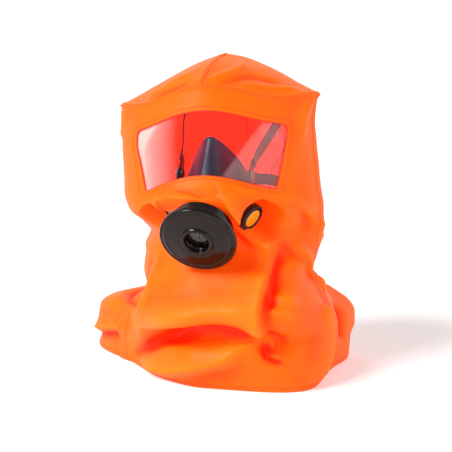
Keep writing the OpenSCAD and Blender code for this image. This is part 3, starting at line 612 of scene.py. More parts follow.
def softened(corners, radius=0.5, n=3):
    """A profile with each inner corner rounded to a small radius."""
    corners = np.asarray(corners, float)
    out = [corners[0]]
    for a, b, c in zip(corners, corners[1:], corners[2:]):
        u, v = unit(a - b), unit(c - b)
        reach = min(radius, np.linalg.norm(a - b) * 0.45, np.linalg.norm(c - b) * 0.45)
        for t in np.linspace(0, 1, n + 1):
            out.append(b + (1 - t) ** 2 * reach * u + t ** 2 * reach * v)
    out.append(corners[-1])
    return np.array(out)


def placed(points, centre, axis, up=(0, 0, 1)):
    """Points of a fitting's own frame, whose Z is its axis, set on the head."""
    z = unit(np.asarray(axis, float))
    x = unit(np.cross(up, z))
    y = np.cross(z, x)
    return np.asarray(points) @ np.array([x, y, z]) + centre


def joined(parts):
    """Several (points, faces) as one."""
    points, faces, start = [], [], 0
    for p, f in parts:
        points.append(p)
        faces += [tuple(i + start for i in face) for face in f]
        start += len(p)
    return np.vstack(points), faces


def tube(path, radius, sides=10, closed=False):
    """A round bar along a path."""
    path = np.asarray(path, float)
    n = len(path)
    if closed:
        along = unit(np.roll(path, -1, axis=0) - np.roll(path, 1, axis=0))
    else:
        along = unit(np.gradient(path, axis=0))
    up = np.array([0.12, 0.2, 0.97])
    side = unit(np.cross(along, up))
    out = np.cross(side, along)
    turn = np.arange(sides) * 2 * math.pi / sides
    rings = (path[:, None] + radius * (np.cos(turn)[None, :, None] * side[:, None]
                                       + np.sin(turn)[None, :, None] * out[:, None]))
    last = n if closed else n - 1
    faces = [(i * sides + k, (i + 1) % n * sides + k, (i + 1) % n * sides + (k + 1) % sides,
              i * sides + (k + 1) % sides)
             for i in range(last) for k in range(sides)]
    if not closed:
        faces += [tuple(range(sides)), tuple((n - 1) * sides + k for k in reversed(range(sides)))]
    return rings.reshape(-1, 3), faces


# ---------------------------------------------------------------- camera, light and floor
def camera_and_light():
    scene = bpy.context.scene
    scene.view_settings.view_transform = "Standard"
    target = Vector([*(HEAD[:2] * MM), 0.207])
    azimuth, elevation, distance = math.radians(15), math.radians(9), 1.8
    back = Vector((math.sin(azimuth) * math.cos(elevation), -math.cos(azimuth) * math.cos(elevation),
                   math.sin(elevation)))
    camera = bpy.data.objects.new("camera", bpy.data.cameras.new("camera"))
    camera.data.lens, camera.data.sensor_width = 96.2, 36
    camera.location = target + back * distance
    camera.rotation_euler = (-back).to_track_quat("-Z", "Y").to_euler()
    bpy.context.collection.objects.link(camera)
    scene.camera = camera

    def area_light(name, place, size, power, colour="#FFFFFF"):
        light = bpy.data.objects.new(name, bpy.data.lights.new(name, "AREA"))
        light.data.size, light.data.energy, light.data.color = size, power, linear(colour)[:3]
        light.location = place
        light.rotation_euler = (target - Vector(place)).to_track_quat("-Z", "Y").to_euler()
        bpy.context.collection.objects.link(light)

    sun = bpy.data.objects.new("key", bpy.data.lights.new("key", "SUN"))
    sun.data.energy, sun.data.angle = KEY_STRENGTH, math.radians(22)
    sun.rotation_euler = Vector((1.25, 1.35, -1.75)).to_track_quat("-Z", "Y").to_euler()
    bpy.context.collection.objects.link(sun)
    area_light("left softbox", (-1.4, -1.1, 1.5), 0.8, 9)
    area_light("right softbox", (1.9, -0.7, 0.9), 0.9, 7)
    world = bpy.data.worlds.new("studio")
    world.use_nodes = True
    world.node_tree.nodes["Background"].inputs["Color"].default_value = (1, 1, 1, 1)
    world.node_tree.nodes["Background"].inputs["Strength"].default_value = WORLD_STRENGTH
    scene.world = world

    # a white sweep: the floor, a curve, and the wall behind
    turn = np.linspace(0, math.pi / 2, 9)
    side = [(-6, 0), *((3 + 2 * math.sin(t), 2 - 2 * math.cos(t)) for t in turn), (5, 9)]
    rows = [(x, y, z) for y, z in side for x in (-9, 9)]
    sweep = bpy.data.meshes.new("sweep")
    sweep.from_pydata(rows, [], [(2 * k, 2 * k + 1, 2 * k + 3, 2 * k + 2) for k in range(len(side) - 1)])
    sweep.polygons.foreach_set("use_smooth", [True] * len(sweep.polygons))
    sweep = bpy.data.objects.new("sweep", sweep)
    bpy.context.collection.objects.link(sweep)
    sweep.data.materials.append(finish("white_sweep_paint", colour="#E4E4E4", roughness=0.95,
                                       Specular_IOR_Level=0.0,
                                       Emission_Color=linear("#FFFFFF"), Emission_Strength=0.3))


# ---------------------------------------------------------------- materials
def node(tree, kind, settings=None, **links):
    """Adds a node. settings are its own properties; links are its inputs, as values or other sockets."""
    made = tree.nodes.new(kind)
    for key, value in (settings or {}).items():
        setattr(made, key, value)
    for key, value in links.items():
        if key[0] == "i" and key[1:].isdigit():
            socket = made.inputs[int(key[1:])]
        else:
            socket = made.inputs[key.replace("_", " ")]
        if isinstance(value, bpy.types.NodeSocket):
            tree.links.new(value, socket)
        else:
            socket.default_value = value
    return made


def finish(name, colour="#808080", roughness=0.5, metallic=0.0, **sockets):
    """A material whose shader's own sockets hold the constants."""
    material = bpy.data.materials.new(name)
    material.use_nodes = True
    shader = material.node_tree.nodes["Principled BSDF"]
    shader.inputs["Base Color"].default_value = linear(colour)
    shader.inputs["Roughness"].default_value = roughness
    shader.inputs["Metallic"].default_value = metallic
    for key, value in sockets.items():
        shader.inputs[key.replace("_", " ")].default_value = value
    return material


def parts_of(material):
    tree = material.node_tree
    return tree, tree.nodes["Principled BSDF"], node(tree, "ShaderNodeTexCoord").outputs["Object"]


def per(mm):
    """The texture scale whose features are this many millimetres apart."""
    return 1000 / mm


def coated_cloth(name, colour, shade, painted_shade_colour, pale, painted_glow_colour, painted_glow_strength):
    """PVC-coated polyester, calendered smooth: a satin skin with painted shade that turns it red in the
    hollows of its folds, where light has to come through several layers, and a painted highlight that makes
    it paler on their crests, both read from the painted_fold_shading attribute, with the faint print of the
    weave."""
    # painted light: a red emission over the whole cloth keeps its shaded parts red instead of dark
    material = finish(name, colour, 0.5, Specular_IOR_Level=0.16, Emission_Color=linear(painted_glow_colour),
                      Emission_Strength=painted_glow_strength)
    tree, shader, place = parts_of(material)
    painted_fold_shading = node(tree, "ShaderNodeAttribute", {"attribute_name": "painted_fold_shading"}).outputs["Fac"]
    cloud = node(tree, "ShaderNodeTexNoise", Vector=place, Scale=per(110), Detail=3.0)
    tint = node(tree, "ShaderNodeMix", {"data_type": "RGBA"}, i0=cloud.outputs["Fac"], i6=linear(colour),
                i7=linear(shade))
    # painted shade: the colour goes towards the red of painted_shade_colour in the hollows of the folds
    painted_shade_amount = node(tree, "ShaderNodeMapRange", Value=painted_fold_shading, From_Min=0.5, From_Max=0.12, To_Min=0.0,
                  To_Max=0.9)
    with_painted_shade = node(tree, "ShaderNodeMix", {"data_type": "RGBA"}, i0=painted_shade_amount.outputs["Result"],
                  i6=tint.outputs[2],
                  i7=linear(painted_shade_colour))
    # painted highlight: the colour goes towards pale on the crests of the folds
    painted_highlight_amount = node(tree, "ShaderNodeMapRange", Value=painted_fold_shading, From_Min=0.6, From_Max=1.0, To_Min=0.0, To_Max=0.6)
    lighter = node(tree, "ShaderNodeMix", {"data_type": "RGBA"}, i0=painted_highlight_amount.outputs["Result"],
                   i6=with_painted_shade.outputs[2],
                   i7=linear(pale))
    tree.links.new(lighter.outputs[2], shader.inputs["Base Color"])
    creases = node(tree, "ShaderNodeTexNoise", Vector=place, Scale=per(30), Detail=3.0, Roughness=0.5)
    warp = node(tree, "ShaderNodeTexWave", {"wave_type": "BANDS"}, Vector=place, Scale=per(1) / 20,
                Distortion=1.5,
                Detail=0.0)
    broad = node(tree, "ShaderNodeBump", Height=creases.outputs["Fac"], Strength=0.14, Distance=0.003)
    fine = node(tree, "ShaderNodeBump", Height=warp.outputs["Fac"], Strength=0.05, Distance=0.0004,
                Normal=broad.outputs["Normal"])
    tree.links.new(fine.outputs["Normal"], shader.inputs["Normal"])
    dull = node(tree, "ShaderNodeMapRange", Value=creases.outputs["Fac"], To_Min=0.42, To_Max=0.56)
    tree.links.new(dull.outputs["Result"], shader.inputs["Roughness"])
    return material


def clear_film():
    """Clear flexible PVC film: you look through it, with painted reflections, a pale haze at its left end and
    a slanting pale band at its right, set in the film's own coordinates, and a wet shine."""
    material = finish("clear_pvc_film", "#FFDCD6", 0.07, IOR=1.45, Specular_IOR_Level=0.8)
    tree, shader, place = parts_of(material)
    rim = node(tree, "ShaderNodeLayerWeight", Blend=0.22)
    split = node(tree, "ShaderNodeSeparateXYZ", Vector=place)
    # painted reflection: a pale haze that grows towards the film's left end
    left = node(tree, "ShaderNodeMapRange", Value=split.outputs["X"], From_Min=-0.088, From_Max=-0.01,
                To_Min=0.4,
                To_Max=0.0)
    # painted reflection: a slanting pale band at the film's right
    turned = node(tree, "ShaderNodeVectorMath", {"operation": "DOT_PRODUCT"}, i0=place, i1=(0.82, 0, -0.572))
    band = node(tree, "ShaderNodeMapRange", Value=turned.outputs["Value"], From_Min=-0.128, From_Max=-0.122,
                To_Min=0.0, To_Max=0.1)
    painted_reflection_alpha = node(tree, "ShaderNodeMath", {"operation": "ADD"}, i0=left.outputs["Result"],
                i1=band.outputs["Result"])
    shine = node(tree, "ShaderNodeMapRange", Value=rim.outputs["Fresnel"], From_Min=0.02, From_Max=0.6,
                 To_Min=0.008,
                 To_Max=0.6)
    alpha = node(tree, "ShaderNodeMath", {"operation": "ADD", "use_clamp": True}, i0=painted_reflection_alpha.outputs["Value"],
                 i1=shine.outputs["Result"])
    tree.links.new(alpha.outputs["Value"], shader.inputs["Alpha"])
    return material


def moulded(name, colour, worn, roughness, grain_mm, depth, **sockets):
    """Injection-moulded plastic or rubber: one colour through, a fine sparked grain, slightly polished
    by use."""
    material = finish(name, colour, roughness, **sockets)
    tree, shader, place = parts_of(material)
    wear = node(tree, "ShaderNodeTexNoise", Vector=place, Scale=per(18), Detail=3.0)
    tint = node(tree, "ShaderNodeMix", {"data_type": "RGBA"}, i0=wear.outputs["Fac"], i6=linear(colour),
                i7=linear(worn))
    tree.links.new(tint.outputs[2], shader.inputs["Base Color"])
    dull = node(tree, "ShaderNodeMapRange", Value=wear.outputs["Fac"], To_Min=roughness * 0.75,
                To_Max=min(1, roughness * 1.3))
    tree.links.new(dull.outputs["Result"], shader.inputs["Roughness"])
    grain = node(tree, "ShaderNodeTexNoise", Vector=place, Scale=per(grain_mm), Detail=1.0)
    bump = node(tree, "ShaderNodeBump", Height=grain.outputs["Fac"], Strength=depth, Distance=0.0003)
    tree.links.new(bump.outputs["Normal"], shader.inputs["Normal"])
    return material


def woven_webbing():
    """Elastic polyester webbing: a dark ribbed weave, its ribs across the strap every 1.6 mm."""
    material = finish("polyester_webbing", "#23232A", 0.75, Sheen_Weight=0.25, Sheen_Roughness=0.5)
    tree, shader, _ = parts_of(material)
    laid = node(tree, "ShaderNodeUVMap", {"uv_map": "weave"}).outputs["UV"]
    ribs = node(tree, "ShaderNodeTexWave", {"bands_direction": "Y"}, Vector=laid, Scale=per(1.6) / 6.283)
    cords = node(tree, "ShaderNodeTexWave", {"bands_direction": "X"}, Vector=laid, Scale=per(2.2) / 6.283)
    weave = node(tree, "ShaderNodeMath", {"operation": "MULTIPLY"}, i0=ribs.outputs["Fac"],
                 i1=cords.outputs["Fac"])
    tint = node(tree, "ShaderNodeMix", {"data_type": "RGBA"}, i0=weave.outputs["Value"],
                i6=linear("#101015"),
                i7=linear("#34343E"))
    tree.links.new(tint.outputs[2], shader.inputs["Base Color"])
    bump = node(tree, "ShaderNodeBump", Height=weave.outputs["Value"], Strength=0.5, Distance=0.0005)
    tree.links.new(bump.outputs["Normal"], shader.inputs["Normal"])
    return material


def granules(name, colour, light, size_mm, roughness, depth):
    """Loose or felted stuff: cells of its own grain size, some lighter than others."""
    material = finish(name, colour, roughness)
    tree, shader, place = parts_of(material)
    cells = node(tree, "ShaderNodeTexVoronoi", Vector=place, Scale=per(size_mm))
    tint = node(tree, "ShaderNodeMix", {"data_type": "RGBA"}, i0=cells.outputs["Distance"], i6=linear(light),
                i7=linear(colour))
    tree.links.new(tint.outputs[2], shader.inputs["Base Color"])
    bump = node(tree, "ShaderNodeBump", {"invert": True}, Height=cells.outputs["Distance"], Strength=depth,
                Distance=0.0008)
    tree.links.new(bump.outputs["Normal"], shader.inputs["Normal"])
    return material


def rolled_steel(name, colour, roughness, line_mm):
    """Thin stainless strip: bright, with fine rolling lines that run round it."""
    material = finish(name, colour, roughness, 1.0)
    tree, shader, place = parts_of(material)
    stretched = node(tree, "ShaderNodeMapping", Vector=place, Scale=(0.15, 0.15, 1))
    lines = node(tree, "ShaderNodeTexNoise", Vector=stretched.outputs["Vector"], Scale=per(line_mm),
                 Detail=2.0)
    dull = node(tree, "ShaderNodeMapRange", Value=lines.outputs["Fac"], To_Min=roughness * 0.7,
                To_Max=roughness * 1.4)
    tree.links.new(dull.outputs["Result"], shader.inputs["Roughness"])
    bump = node(tree, "ShaderNodeBump", Height=lines.outputs["Fac"], Strength=0.1, Distance=0.0002)
    tree.links.new(bump.outputs["Normal"], shader.inputs["Normal"])
    return material


def make_finishes():
    """Every finish, by its slot in the record."""
    return {
        # the fourth and fifth colours paint red shade in the hollows and a highlight on the crests; the last
        # colour and number are a painted red emission
        "coated_fabric": coated_cloth("orange_pvc_cloth", "#FF7000", "#FF6600", "#FF2200", "#FF8418",
                                      "#FF1E00", 0.34),
        # the cloth's inside, coral, with a painted light: its emission stands in for the light that comes
        # through it
        "lining": coated_cloth("coral_cloth_inside", "#FF7E66", "#FF5A3C", "#FF3A1E", "#FF8C78", "#FF3018",
                               0.75),
        "thread": moulded("orange_polyester_thread", "#D83A00", "#F05A10", 0.6, 0.6, 0.3),
        "binding": moulded("red_bound_edge", "#D92405", "#E63A10", 0.5, 0.8, 0.2),
        "clear_sheet": clear_film(),
        # glass-filled nylon, moulded, black and slightly matte
        "black_plastic": moulded("black_nylon", "#0E0E10", "#1B1B1E", 0.42, 0.7, 0.25),
        # polished ABS of the filter's shells: it mirrors the softboxes
        "filter_plastic": moulded("gloss_black_abs", "#0D0605", "#1C0F0C", 0.12, 1.2, 0.04,
                                  Specular_IOR_Level=0.3),
        "guard_mesh": moulded("brown_woven_guard", "#2A1710", "#3A2317", 0.5, 0.6, 0.3),
        "pad_felt": granules("white_dust_felt", "#D8D4C6", "#F2EFE4", 0.9, 0.95, 0.5),
        "pleat_paper": granules("glass_fibre_paper", "#E4E2DA", "#F6F5EF", 0.7, 0.9, 0.2),
        "carbon_grain": granules("activated_carbon", "#0B0B0C", "#2B2B2E", 1.3, 0.8, 0.9),
        "screen_steel": rolled_steel("perforated_steel", "#B9BABC", 0.35, 0.8),
        "soft_rubber": moulded("black_nitrile", "#0A0A0A", "#161616", 0.55, 0.5, 0.2),
        "mask_rubber": moulded("navy_elastomer", "#0E1634", "#1C2850", 0.34, 0.8, 0.15, Sheen_Weight=0.15),
        "flap_silicone": moulded("pale_silicone", "#C8C8C2", "#DCDCD6", 0.35, 0.8, 0.1),
        "clamp_steel": rolled_steel("rolled_band_steel", "#D2D3D5", 0.22, 0.8),
        "orange_disc": moulded("amber_acetal", "#FF9A08", "#FFA820", 0.3, 0.9, 0.1, Coat_Weight=0.3),
        "grey_plastic": moulded("grey_acetal", "#6B686E", "#837F86", 0.45, 0.7, 0.2),
        "strap_webbing": woven_webbing(),
    }


# ---------------------------------------------------------------- pieces
def ready(piece, material, slot_name, body, *nodes):
    """Finishes a piece: its material, its record slot (slot_name, which is not used), the body it moves
    with and the CAD nodes it stands for."""
    if material is not None:
        piece.data.materials.clear()
        piece.data.materials.append(material)
    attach(piece, body)
    if nodes:
        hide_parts(*nodes)
    return piece


def solid(name, points, faces, sharp=35):
    """A closed mesh piece with its doubles merged, its faces outwards and its edges sharp past an angle."""
    piece = mesh_object(name, points, faces)
    mesh = bmesh.new()
    mesh.from_mesh(piece.data)
    bmesh.ops.remove_doubles(mesh, verts=mesh.verts, dist=1e-6)
    bmesh.ops.dissolve_degenerate(mesh, edges=mesh.edges, dist=1e-7)
    bmesh.ops.recalc_face_normals(mesh, faces=mesh.faces)
    mesh.to_mesh(piece.data)
    mesh.free()
    piece.data.set_sharp_from_angle(angle=math.radians(sharp))
    return piece


def rounded_copy(name, node_name, radius=0.4):
    """A CAD node's shape with its edges broken, as a moulded or pressed piece has them."""
    source = frame["nodes"][node_name]
    mesh = bmesh.new()
    mesh.from_mesh(source.data)
    bmesh.ops.remove_doubles(mesh, verts=mesh.verts, dist=2e-6)
    bmesh.ops.dissolve_limit(mesh, angle_limit=math.radians(1), verts=mesh.verts, edges=mesh.edges)
    data = bpy.data.meshes.new(name)
    mesh.to_mesh(data)
    mesh.free()
    piece = bpy.data.objects.new(name, data)
    bpy.context.collection.objects.link(piece)
    edge = piece.modifiers.new("broken edges", "BEVEL")
    edge.width, edge.segments, edge.limit_method, edge.angle_limit = radius * MM, 2, "ANGLE", math.radians(35)
    baked(piece)
    piece.data.polygons.foreach_set("use_smooth", [True] * len(piece.data.polygons))
    piece.data.set_sharp_from_angle(angle=math.radians(40))
    return piece


def bezier(a, b, c, d, t):
    return (1 - t) ** 3 * a + 3 * t * (1 - t) ** 2 * b + 3 * t * t * (1 - t) * c + t ** 3 * d


def hood_and_window(finishes):
    points, s, j, painted_fold_shading = hood_grid()
    cloth = Cloth(points)
    skins = finishes["coated_fabric"], finishes["lining"]

    def in_front(s, j):
        return (np.abs(s) < 90) & (j > CROWN_SEAM)

    front = cloth_panel("hood_front_panel", points, s, j, painted_fold_shading, lambda s,
                        j: in_front(s, j) & (window_depth(s, j) < 0), skins)
    left = cloth_panel("hood_rear_left_panel", points, s, j, painted_fold_shading, lambda s, j: ~in_front(s, j) & (s < 0),
                       skins)
    right = cloth_panel("hood_rear_right_panel", points, s, j, painted_fold_shading, lambda s, j: ~in_front(s, j) & (s > 0),
                        skins)
    for panel, cad in ((front, "front_panel"), (left, "rear_left_panel"), (right, "rear_right_panel")):
        ready(panel, None, "coated_fabric", "hood", cad)

    # the seams' and hem's rows of stitches
    down = np.linspace(CROWN_SEAM + 0.15, LAST_RING - 0.35, 420)
    rows = []
    for side in (-1, 1):
        for gap in (2.0, 4.6):
            rows.append(cloth.at([(side * (90 - gap), t) for t in down], 0.25))
        top = np.linspace(0, 87, 130)
        for gap in (0.13, 0.34):
            rows.append(cloth.at([(side * t, CROWN_SEAM + gap) for t in top], 0.25))
    crown = np.linspace(0.35, CROWN_SEAM - 0.1, 150)
    back = np.linspace(0.35, LAST_RING - 0.35, 450)
    for side in (-1, 1):
        rows.append(np.array([cloth.at([(side * math.degrees(4.5 / (18 + 20 * t)), t)],
                                       0.3)[0] for t in crown]))
        rows.append(np.array([cloth.at([(side * (180 - math.degrees(4.5 / min(40 + 30 * t, 135))), t)],
                                       0.3)[0]
                              for t in back]))
    rows.append(cloth.at([(t, LAST_RING - 0.32) for t in np.linspace(-180, 179.9, 700)], 0.25))
    seams = stitches("hood_seam_stitching", rows, finishes["thread"])
    ready(seams, finishes["thread"], "coated_fabric", "hood")
    border = stitches("window_stitching", [cloth.at(window_outline(7.5), 0.35)], finishes["thread"], 4.2,
                      2.8, 1.1)
    ready(border, finishes["thread"], "coated_fabric", "hood")
    edge_points, edge_faces = tube(cloth.at(window_outline(0.2)[:-1], -0.5), 0.8, 10, closed=True)
    binding = solid("window_bound_edge", edge_points, edge_faces, 80)
    ready(binding, finishes["binding"], "coated_fabric", "hood")

    # the clear film lies behind the cloth's border
    across = np.linspace(-65, 65, 150)
    drop = np.linspace(VISOR_TOP - 0.42, VISOR_BOTTOM + 0.42, 60)
    film_j, film_s = np.meshgrid(drop, across, indexing="ij")
    bare, _, _ = bare_hood(film_s, film_j)
    bare = clear_of_fittings(bare)
    ripple = 0.35 * np.sin(film_s / 9 + film_j * 1.3) + 0.3 * np.sin(film_s / 17 - film_j * 2.1)
    bare = bare - unit(np.cross(np.gradient(bare, axis=1),
                                -np.gradient(bare, axis=0))) * (2.1 + ripple * 0.6)[..., None]
    keep = window_depth(film_s, film_j) > -9.5
    cells = [(r * 150 + c, (r + 1) * 150 + c, (r + 1) * 150 + c + 1, r * 150 + c + 1)
             for r in range(59) for c in range(149) if keep[r:r + 2, c:c + 2].all()]
    film = mesh_object("window_film", bare.reshape(-1, 3), cells)
    wall = film.modifiers.new("film thickness", "SOLIDIFY")
    wall.thickness, wall.offset = 0.8 * MM, -1
    baked(film)
    tidy_loose(film)
    ready(film, finishes["clear_sheet"], "clear_sheet", "hood", "visor")
    return front, left, right, seams, border, binding


def tidy_loose(piece):
    """Removes the points that no face uses."""
    mesh = bmesh.new()
    mesh.from_mesh(piece.data)
    bmesh.ops.delete(mesh, geom=[v for v in mesh.verts if not v.link_faces], context="VERTS")
    mesh.to_mesh(piece.data)
    mesh.free()


def half_mask(finishes):
    """The mask's cup, from the ring round the socket out to its rolled rim on the face."""
    columns, rows = 144, 36
    t = np.arange(columns) * 2 * math.pi / columns
    s, c = np.sin(t), np.cos(t)
    up, down = np.maximum(0, s), np.maximum(0, -s)
    lift = math.radians(FILTER_PITCH)
    front = FILTER_FACE - 43.6 * FILTER_DIR
    start = front + 27.05 * np.stack([c, -math.sin(lift) * s, math.cos(lift) * s], axis=-1)
    rim = np.stack([MASK_X + 50 * c * (1 - 0.42 * up), -62 - 53 * up ** 1.6 - 14 * down ** 2, 278 + 71 * s],
                   axis=-1)
    out = unit(start - front)
    b = start + (7 * (1 - up))[:, None] * out - (16 * up)[:, None] * FILTER_DIR
    d = rim - np.stack([0 * up, 26 - 14 * up, 30 * up], axis=-1)
    cup = np.array([bezier(start, b, d, rim, k) for k in np.linspace(0, 1, rows)])
    normal = unit(np.cross(np.gradient(cup, axis=0), np.roll(cup, -1, axis=1) - np.roll(cup, 1, axis=1)))
    along = np.linspace(0, 1, rows)[:, None]
    # soft upright facets from the nose to the cheeks, and a step where the face seal begins
    facet = 0.9 * np.abs(np.sin(3 * (t - math.pi / 2))) * np.sin(math.pi * along) ** 0.7
    seal = -1.1 * ease((along - 0.84) / 0.04)
    cup = cup + normal * (seal - 0.9 + facet)[..., None] * 0.9
    faces = [(r * columns + k, r * columns + (k + 1) % columns, (r + 1) * columns + (k + 1) % columns,
              (r + 1) * columns + k) for r in range(rows - 1) for k in range(columns)]
    mask = mesh_object("half_mask_cup", cup.reshape(-1, 3), faces)
    wall = mask.modifiers.new("wall", "SOLIDIFY")
    wall.thickness, wall.offset = 2.0 * MM, -1
    baked(mask)
    ready(mask, finishes["mask_rubber"], "mask_rubber", "hood", "mask_body")
    lip, lip_faces = tube(cup[-1] - [0, 1.2, 0], 1.9, 12, closed=True)
    ready(solid("half_mask_rolled_lip", lip, lip_faces, 80), finishes["mask_rubber"], "mask_rubber", "hood")


def filter_shells(finishes):
    """The filter's turned front, with its rim, cone, raised ring and inlet, and the guard in the inlet."""
    r = 53.5
    ring = [(19.8 + 3.2 * math.cos(a), 1.5 + 3.2 * math.sin(a)) for a in np.radians(np.linspace(15, 165,
                                                                                                14))]
    profile = [(r - 2, -9), (r - 0.6, -9), (r, -8.4), (r, -3.2), (r - 0.5, -1.7), (r - 1.4, -1.1), (r - 2.6,
                                                                                                    -1.3),
               (r - 3.2, -1.9), (r - 3.9, -1.5), (r - 7.6, 0.4), (r - 8.8, 0.6), (r - 9.6, 0.1), (r - 10.6,
                                                                                                  0.0),
               (36, 1.1), (28, 2.0), (25.4, 2.0), (23.6, 1.4)] + ring + [
               (16.4, -0.2), (15.2, -1.6), (14.1, -3.4), (13.3, -5), (13, -6.2), (13, -12), (18, -12),
               (18, -4), (26, -1),
               (46.5, -2.4), (51.5, -4), (r - 2, -9)]
    points, faces = lathe(softened(profile, 0.5), 192)
    cover = solid("filter_front_shell", placed(points, FILTER_FACE, FILTER_DIR), faces, 60)
    drill_points, drill_faces = lathe([(0, -4.5), (0.9, -4.5), (0.9, 4), (0, 4)], 24)
    drill = solid("drill", placed(drill_points + [0, r - 2.1, 0], FILTER_FACE, FILTER_DIR), drill_faces)
    cut = cover.modifiers.new("rim hole", "BOOLEAN")
    cut.operation, cut.object, cut.solver = "DIFFERENCE", drill, "EXACT"
    baked(cover)
    cover.data.set_sharp_from_angle(angle=math.radians(60))
    bpy.data.objects.remove(drill)
    ready(cover, finishes["filter_plastic"], "filter_plastic", "filter", "filter_front_cover")

    # the guard: a frame ring with woven wires, and one thicker bar upright across it
    tree, inputs, outputs = tree_with("guard_wires", {"Wires": 3, "Pitch": 0.0, "Reach": 0.0, "Wire": 0.0},
                                      False)
    steps = node(tree, "ShaderNodeMath", {"operation": "SUBTRACT"}, i0=inputs.outputs["Wires"], i1=1.0)
    width = node(tree, "ShaderNodeMath", {"operation": "MULTIPLY"}, i0=steps.outputs["Value"],
                 i1=inputs.outputs["Pitch"])
    half = node(tree, "ShaderNodeMath", {"operation": "MULTIPLY"}, i0=width.outputs["Value"], i1=-0.5)
    start = node(tree, "ShaderNodeCombineXYZ", X=half.outputs["Value"])
    step = node(tree, "ShaderNodeCombineXYZ", X=inputs.outputs["Pitch"])
    line = node(tree, "GeometryNodeMeshLine", Count=inputs.outputs["Wires"],
                Start_Location=start.outputs["Vector"],
                Offset=step.outputs["Vector"])
    place = node(tree, "GeometryNodeInputPosition")
    x = node(tree, "ShaderNodeSeparateXYZ", Vector=place.outputs["Position"])
    squared = node(tree, "ShaderNodeMath", {"operation": "MULTIPLY"}, i0=x.outputs["X"], i1=x.outputs["X"])
    reach = node(tree, "ShaderNodeMath", {"operation": "MULTIPLY"}, i0=inputs.outputs["Reach"],
                 i1=inputs.outputs["Reach"])
    left = node(tree, "ShaderNodeMath", {"operation": "SUBTRACT"}, i0=reach.outputs["Value"],
                i1=squared.outputs["Value"])
    chord = node(tree, "ShaderNodeMath", {"operation": "SQRT"}, i0=left.outputs["Value"])
    long_scale = node(tree, "ShaderNodeMath", {"operation": "MULTIPLY"}, i0=chord.outputs["Value"], i1=2.0)
    size = node(tree, "ShaderNodeCombineXYZ", X=inputs.outputs["Wire"], Y=inputs.outputs["Wire"],
                Z=long_scale.outputs["Value"])
    wire = node(tree, "GeometryNodeMeshCylinder", Vertices=8, Radius=0.5, Depth=1.0)
    one_way = node(tree, "GeometryNodeInstanceOnPoints", Points=line.outputs["Mesh"],
                   Instance=wire.outputs["Mesh"],
                   Rotation=(math.pi / 2, 0, 0), Scale=size.outputs["Vector"])
    turned = node(tree, "GeometryNodeTransform", Geometry=one_way.outputs["Instances"],
                  Rotation=(0, 0, math.pi / 2), Translation=(0, 0, 0.0004))
    both = node(tree, "GeometryNodeJoinGeometry")
    tree.links.new(one_way.outputs["Instances"], both.inputs["Geometry"])
    tree.links.new(turned.outputs["Geometry"], both.inputs["Geometry"])
    real = node(tree, "GeometryNodeRealizeInstances", Geometry=both.outputs["Geometry"])
    made = node(tree, "GeometryNodeSetMaterial", Geometry=real.outputs["Geometry"],
                Material=inputs.outputs["Material"])
    tree.links.new(made.outputs["Geometry"], outputs.inputs["Geometry"])
    grid = grown("inlet_guard_wires", bpy.data.meshes.new("wires"), tree,
                 {"Wires": 15, "Pitch": 1.7 * MM, "Reach": 14.2 * MM, "Wire": 0.5 * MM},
                 finishes["guard_mesh"])
    settle(grid, FILTER_FACE - 12.6 * FILTER_DIR, FILTER_DIR)
    ready(grid, finishes["guard_mesh"], "guard_mesh", "filter")
    frame_points, frame_faces = lathe(softened([(12.8, -12.95), (17.9, -12.95), (17.9, -12.1), (12.8, -12.1),
                                                (12.8, -12.95)], 0.2), 96)
    bar_points, bar_faces = tube([(0, -13.2, -12.0), (0, 0, -11.9), (0, 13.2, -12.0)], 0.45, 10)
    points, faces = joined([(frame_points, frame_faces), (bar_points, bar_faces)])
    ring_piece = solid("inlet_guard_frame", placed(points, FILTER_FACE, FILTER_DIR), faces)
    ready(ring_piece, finishes["guard_mesh"], "guard_mesh", "filter", "inlet_guard")


def settle(piece, centre, axis):
    """Sets a mesh that was made in a fitting's own frame, in metres, onto the hood."""
    n = len(piece.data.vertices)
    flat = np.empty(n * 3)
    piece.data.vertices.foreach_get("co", flat)
    points = (placed(flat.reshape(-1, 3) / MM, np.asarray(centre), axis) + HEAD) * MM
    piece.data.vertices.foreach_set("co", points.ravel())
    piece.data.update()


def rib_tree():
    """Ribs set round a circle: each one a rounded bar that points out from the middle."""
    tree, inputs, outputs = tree_with("ring_of_ribs", {"Ribs": 3, "Radius": 0.0, "Length": 0.0, "Width": 0.0,
                                                       "Height": 0.0}, False)
    circle = node(tree, "GeometryNodeMeshCircle", Vertices=inputs.outputs["Ribs"],
                  Radius=inputs.outputs["Radius"])
    place = node(tree, "GeometryNodeInputPosition")
    turn = node(tree, "FunctionNodeAlignEulerToVector", {"axis": "X"}, Vector=place.outputs["Position"])
    bar = node(tree, "GeometryNodeMeshCylinder", Vertices=8, Radius=0.5, Depth=1.0)
    laid = node(tree, "GeometryNodeTransform", Geometry=bar.outputs["Mesh"], Rotation=(0, math.pi / 2, 0))
    size = node(tree, "ShaderNodeCombineXYZ", X=inputs.outputs["Length"], Y=inputs.outputs["Width"],
                Z=inputs.outputs["Height"])
    ribs = node(tree, "GeometryNodeInstanceOnPoints", Points=circle.outputs["Mesh"],
                Instance=laid.outputs["Geometry"], Rotation=turn.outputs["Rotation"],
                Scale=size.outputs["Vector"])
    real = node(tree, "GeometryNodeRealizeInstances", Geometry=ribs.outputs["Instances"])
    made = node(tree, "GeometryNodeSetMaterial", Geometry=real.outputs["Geometry"],
                Material=inputs.outputs["Material"])
    tree.links.new(made.outputs["Geometry"], outputs.inputs["Geometry"])
    return tree


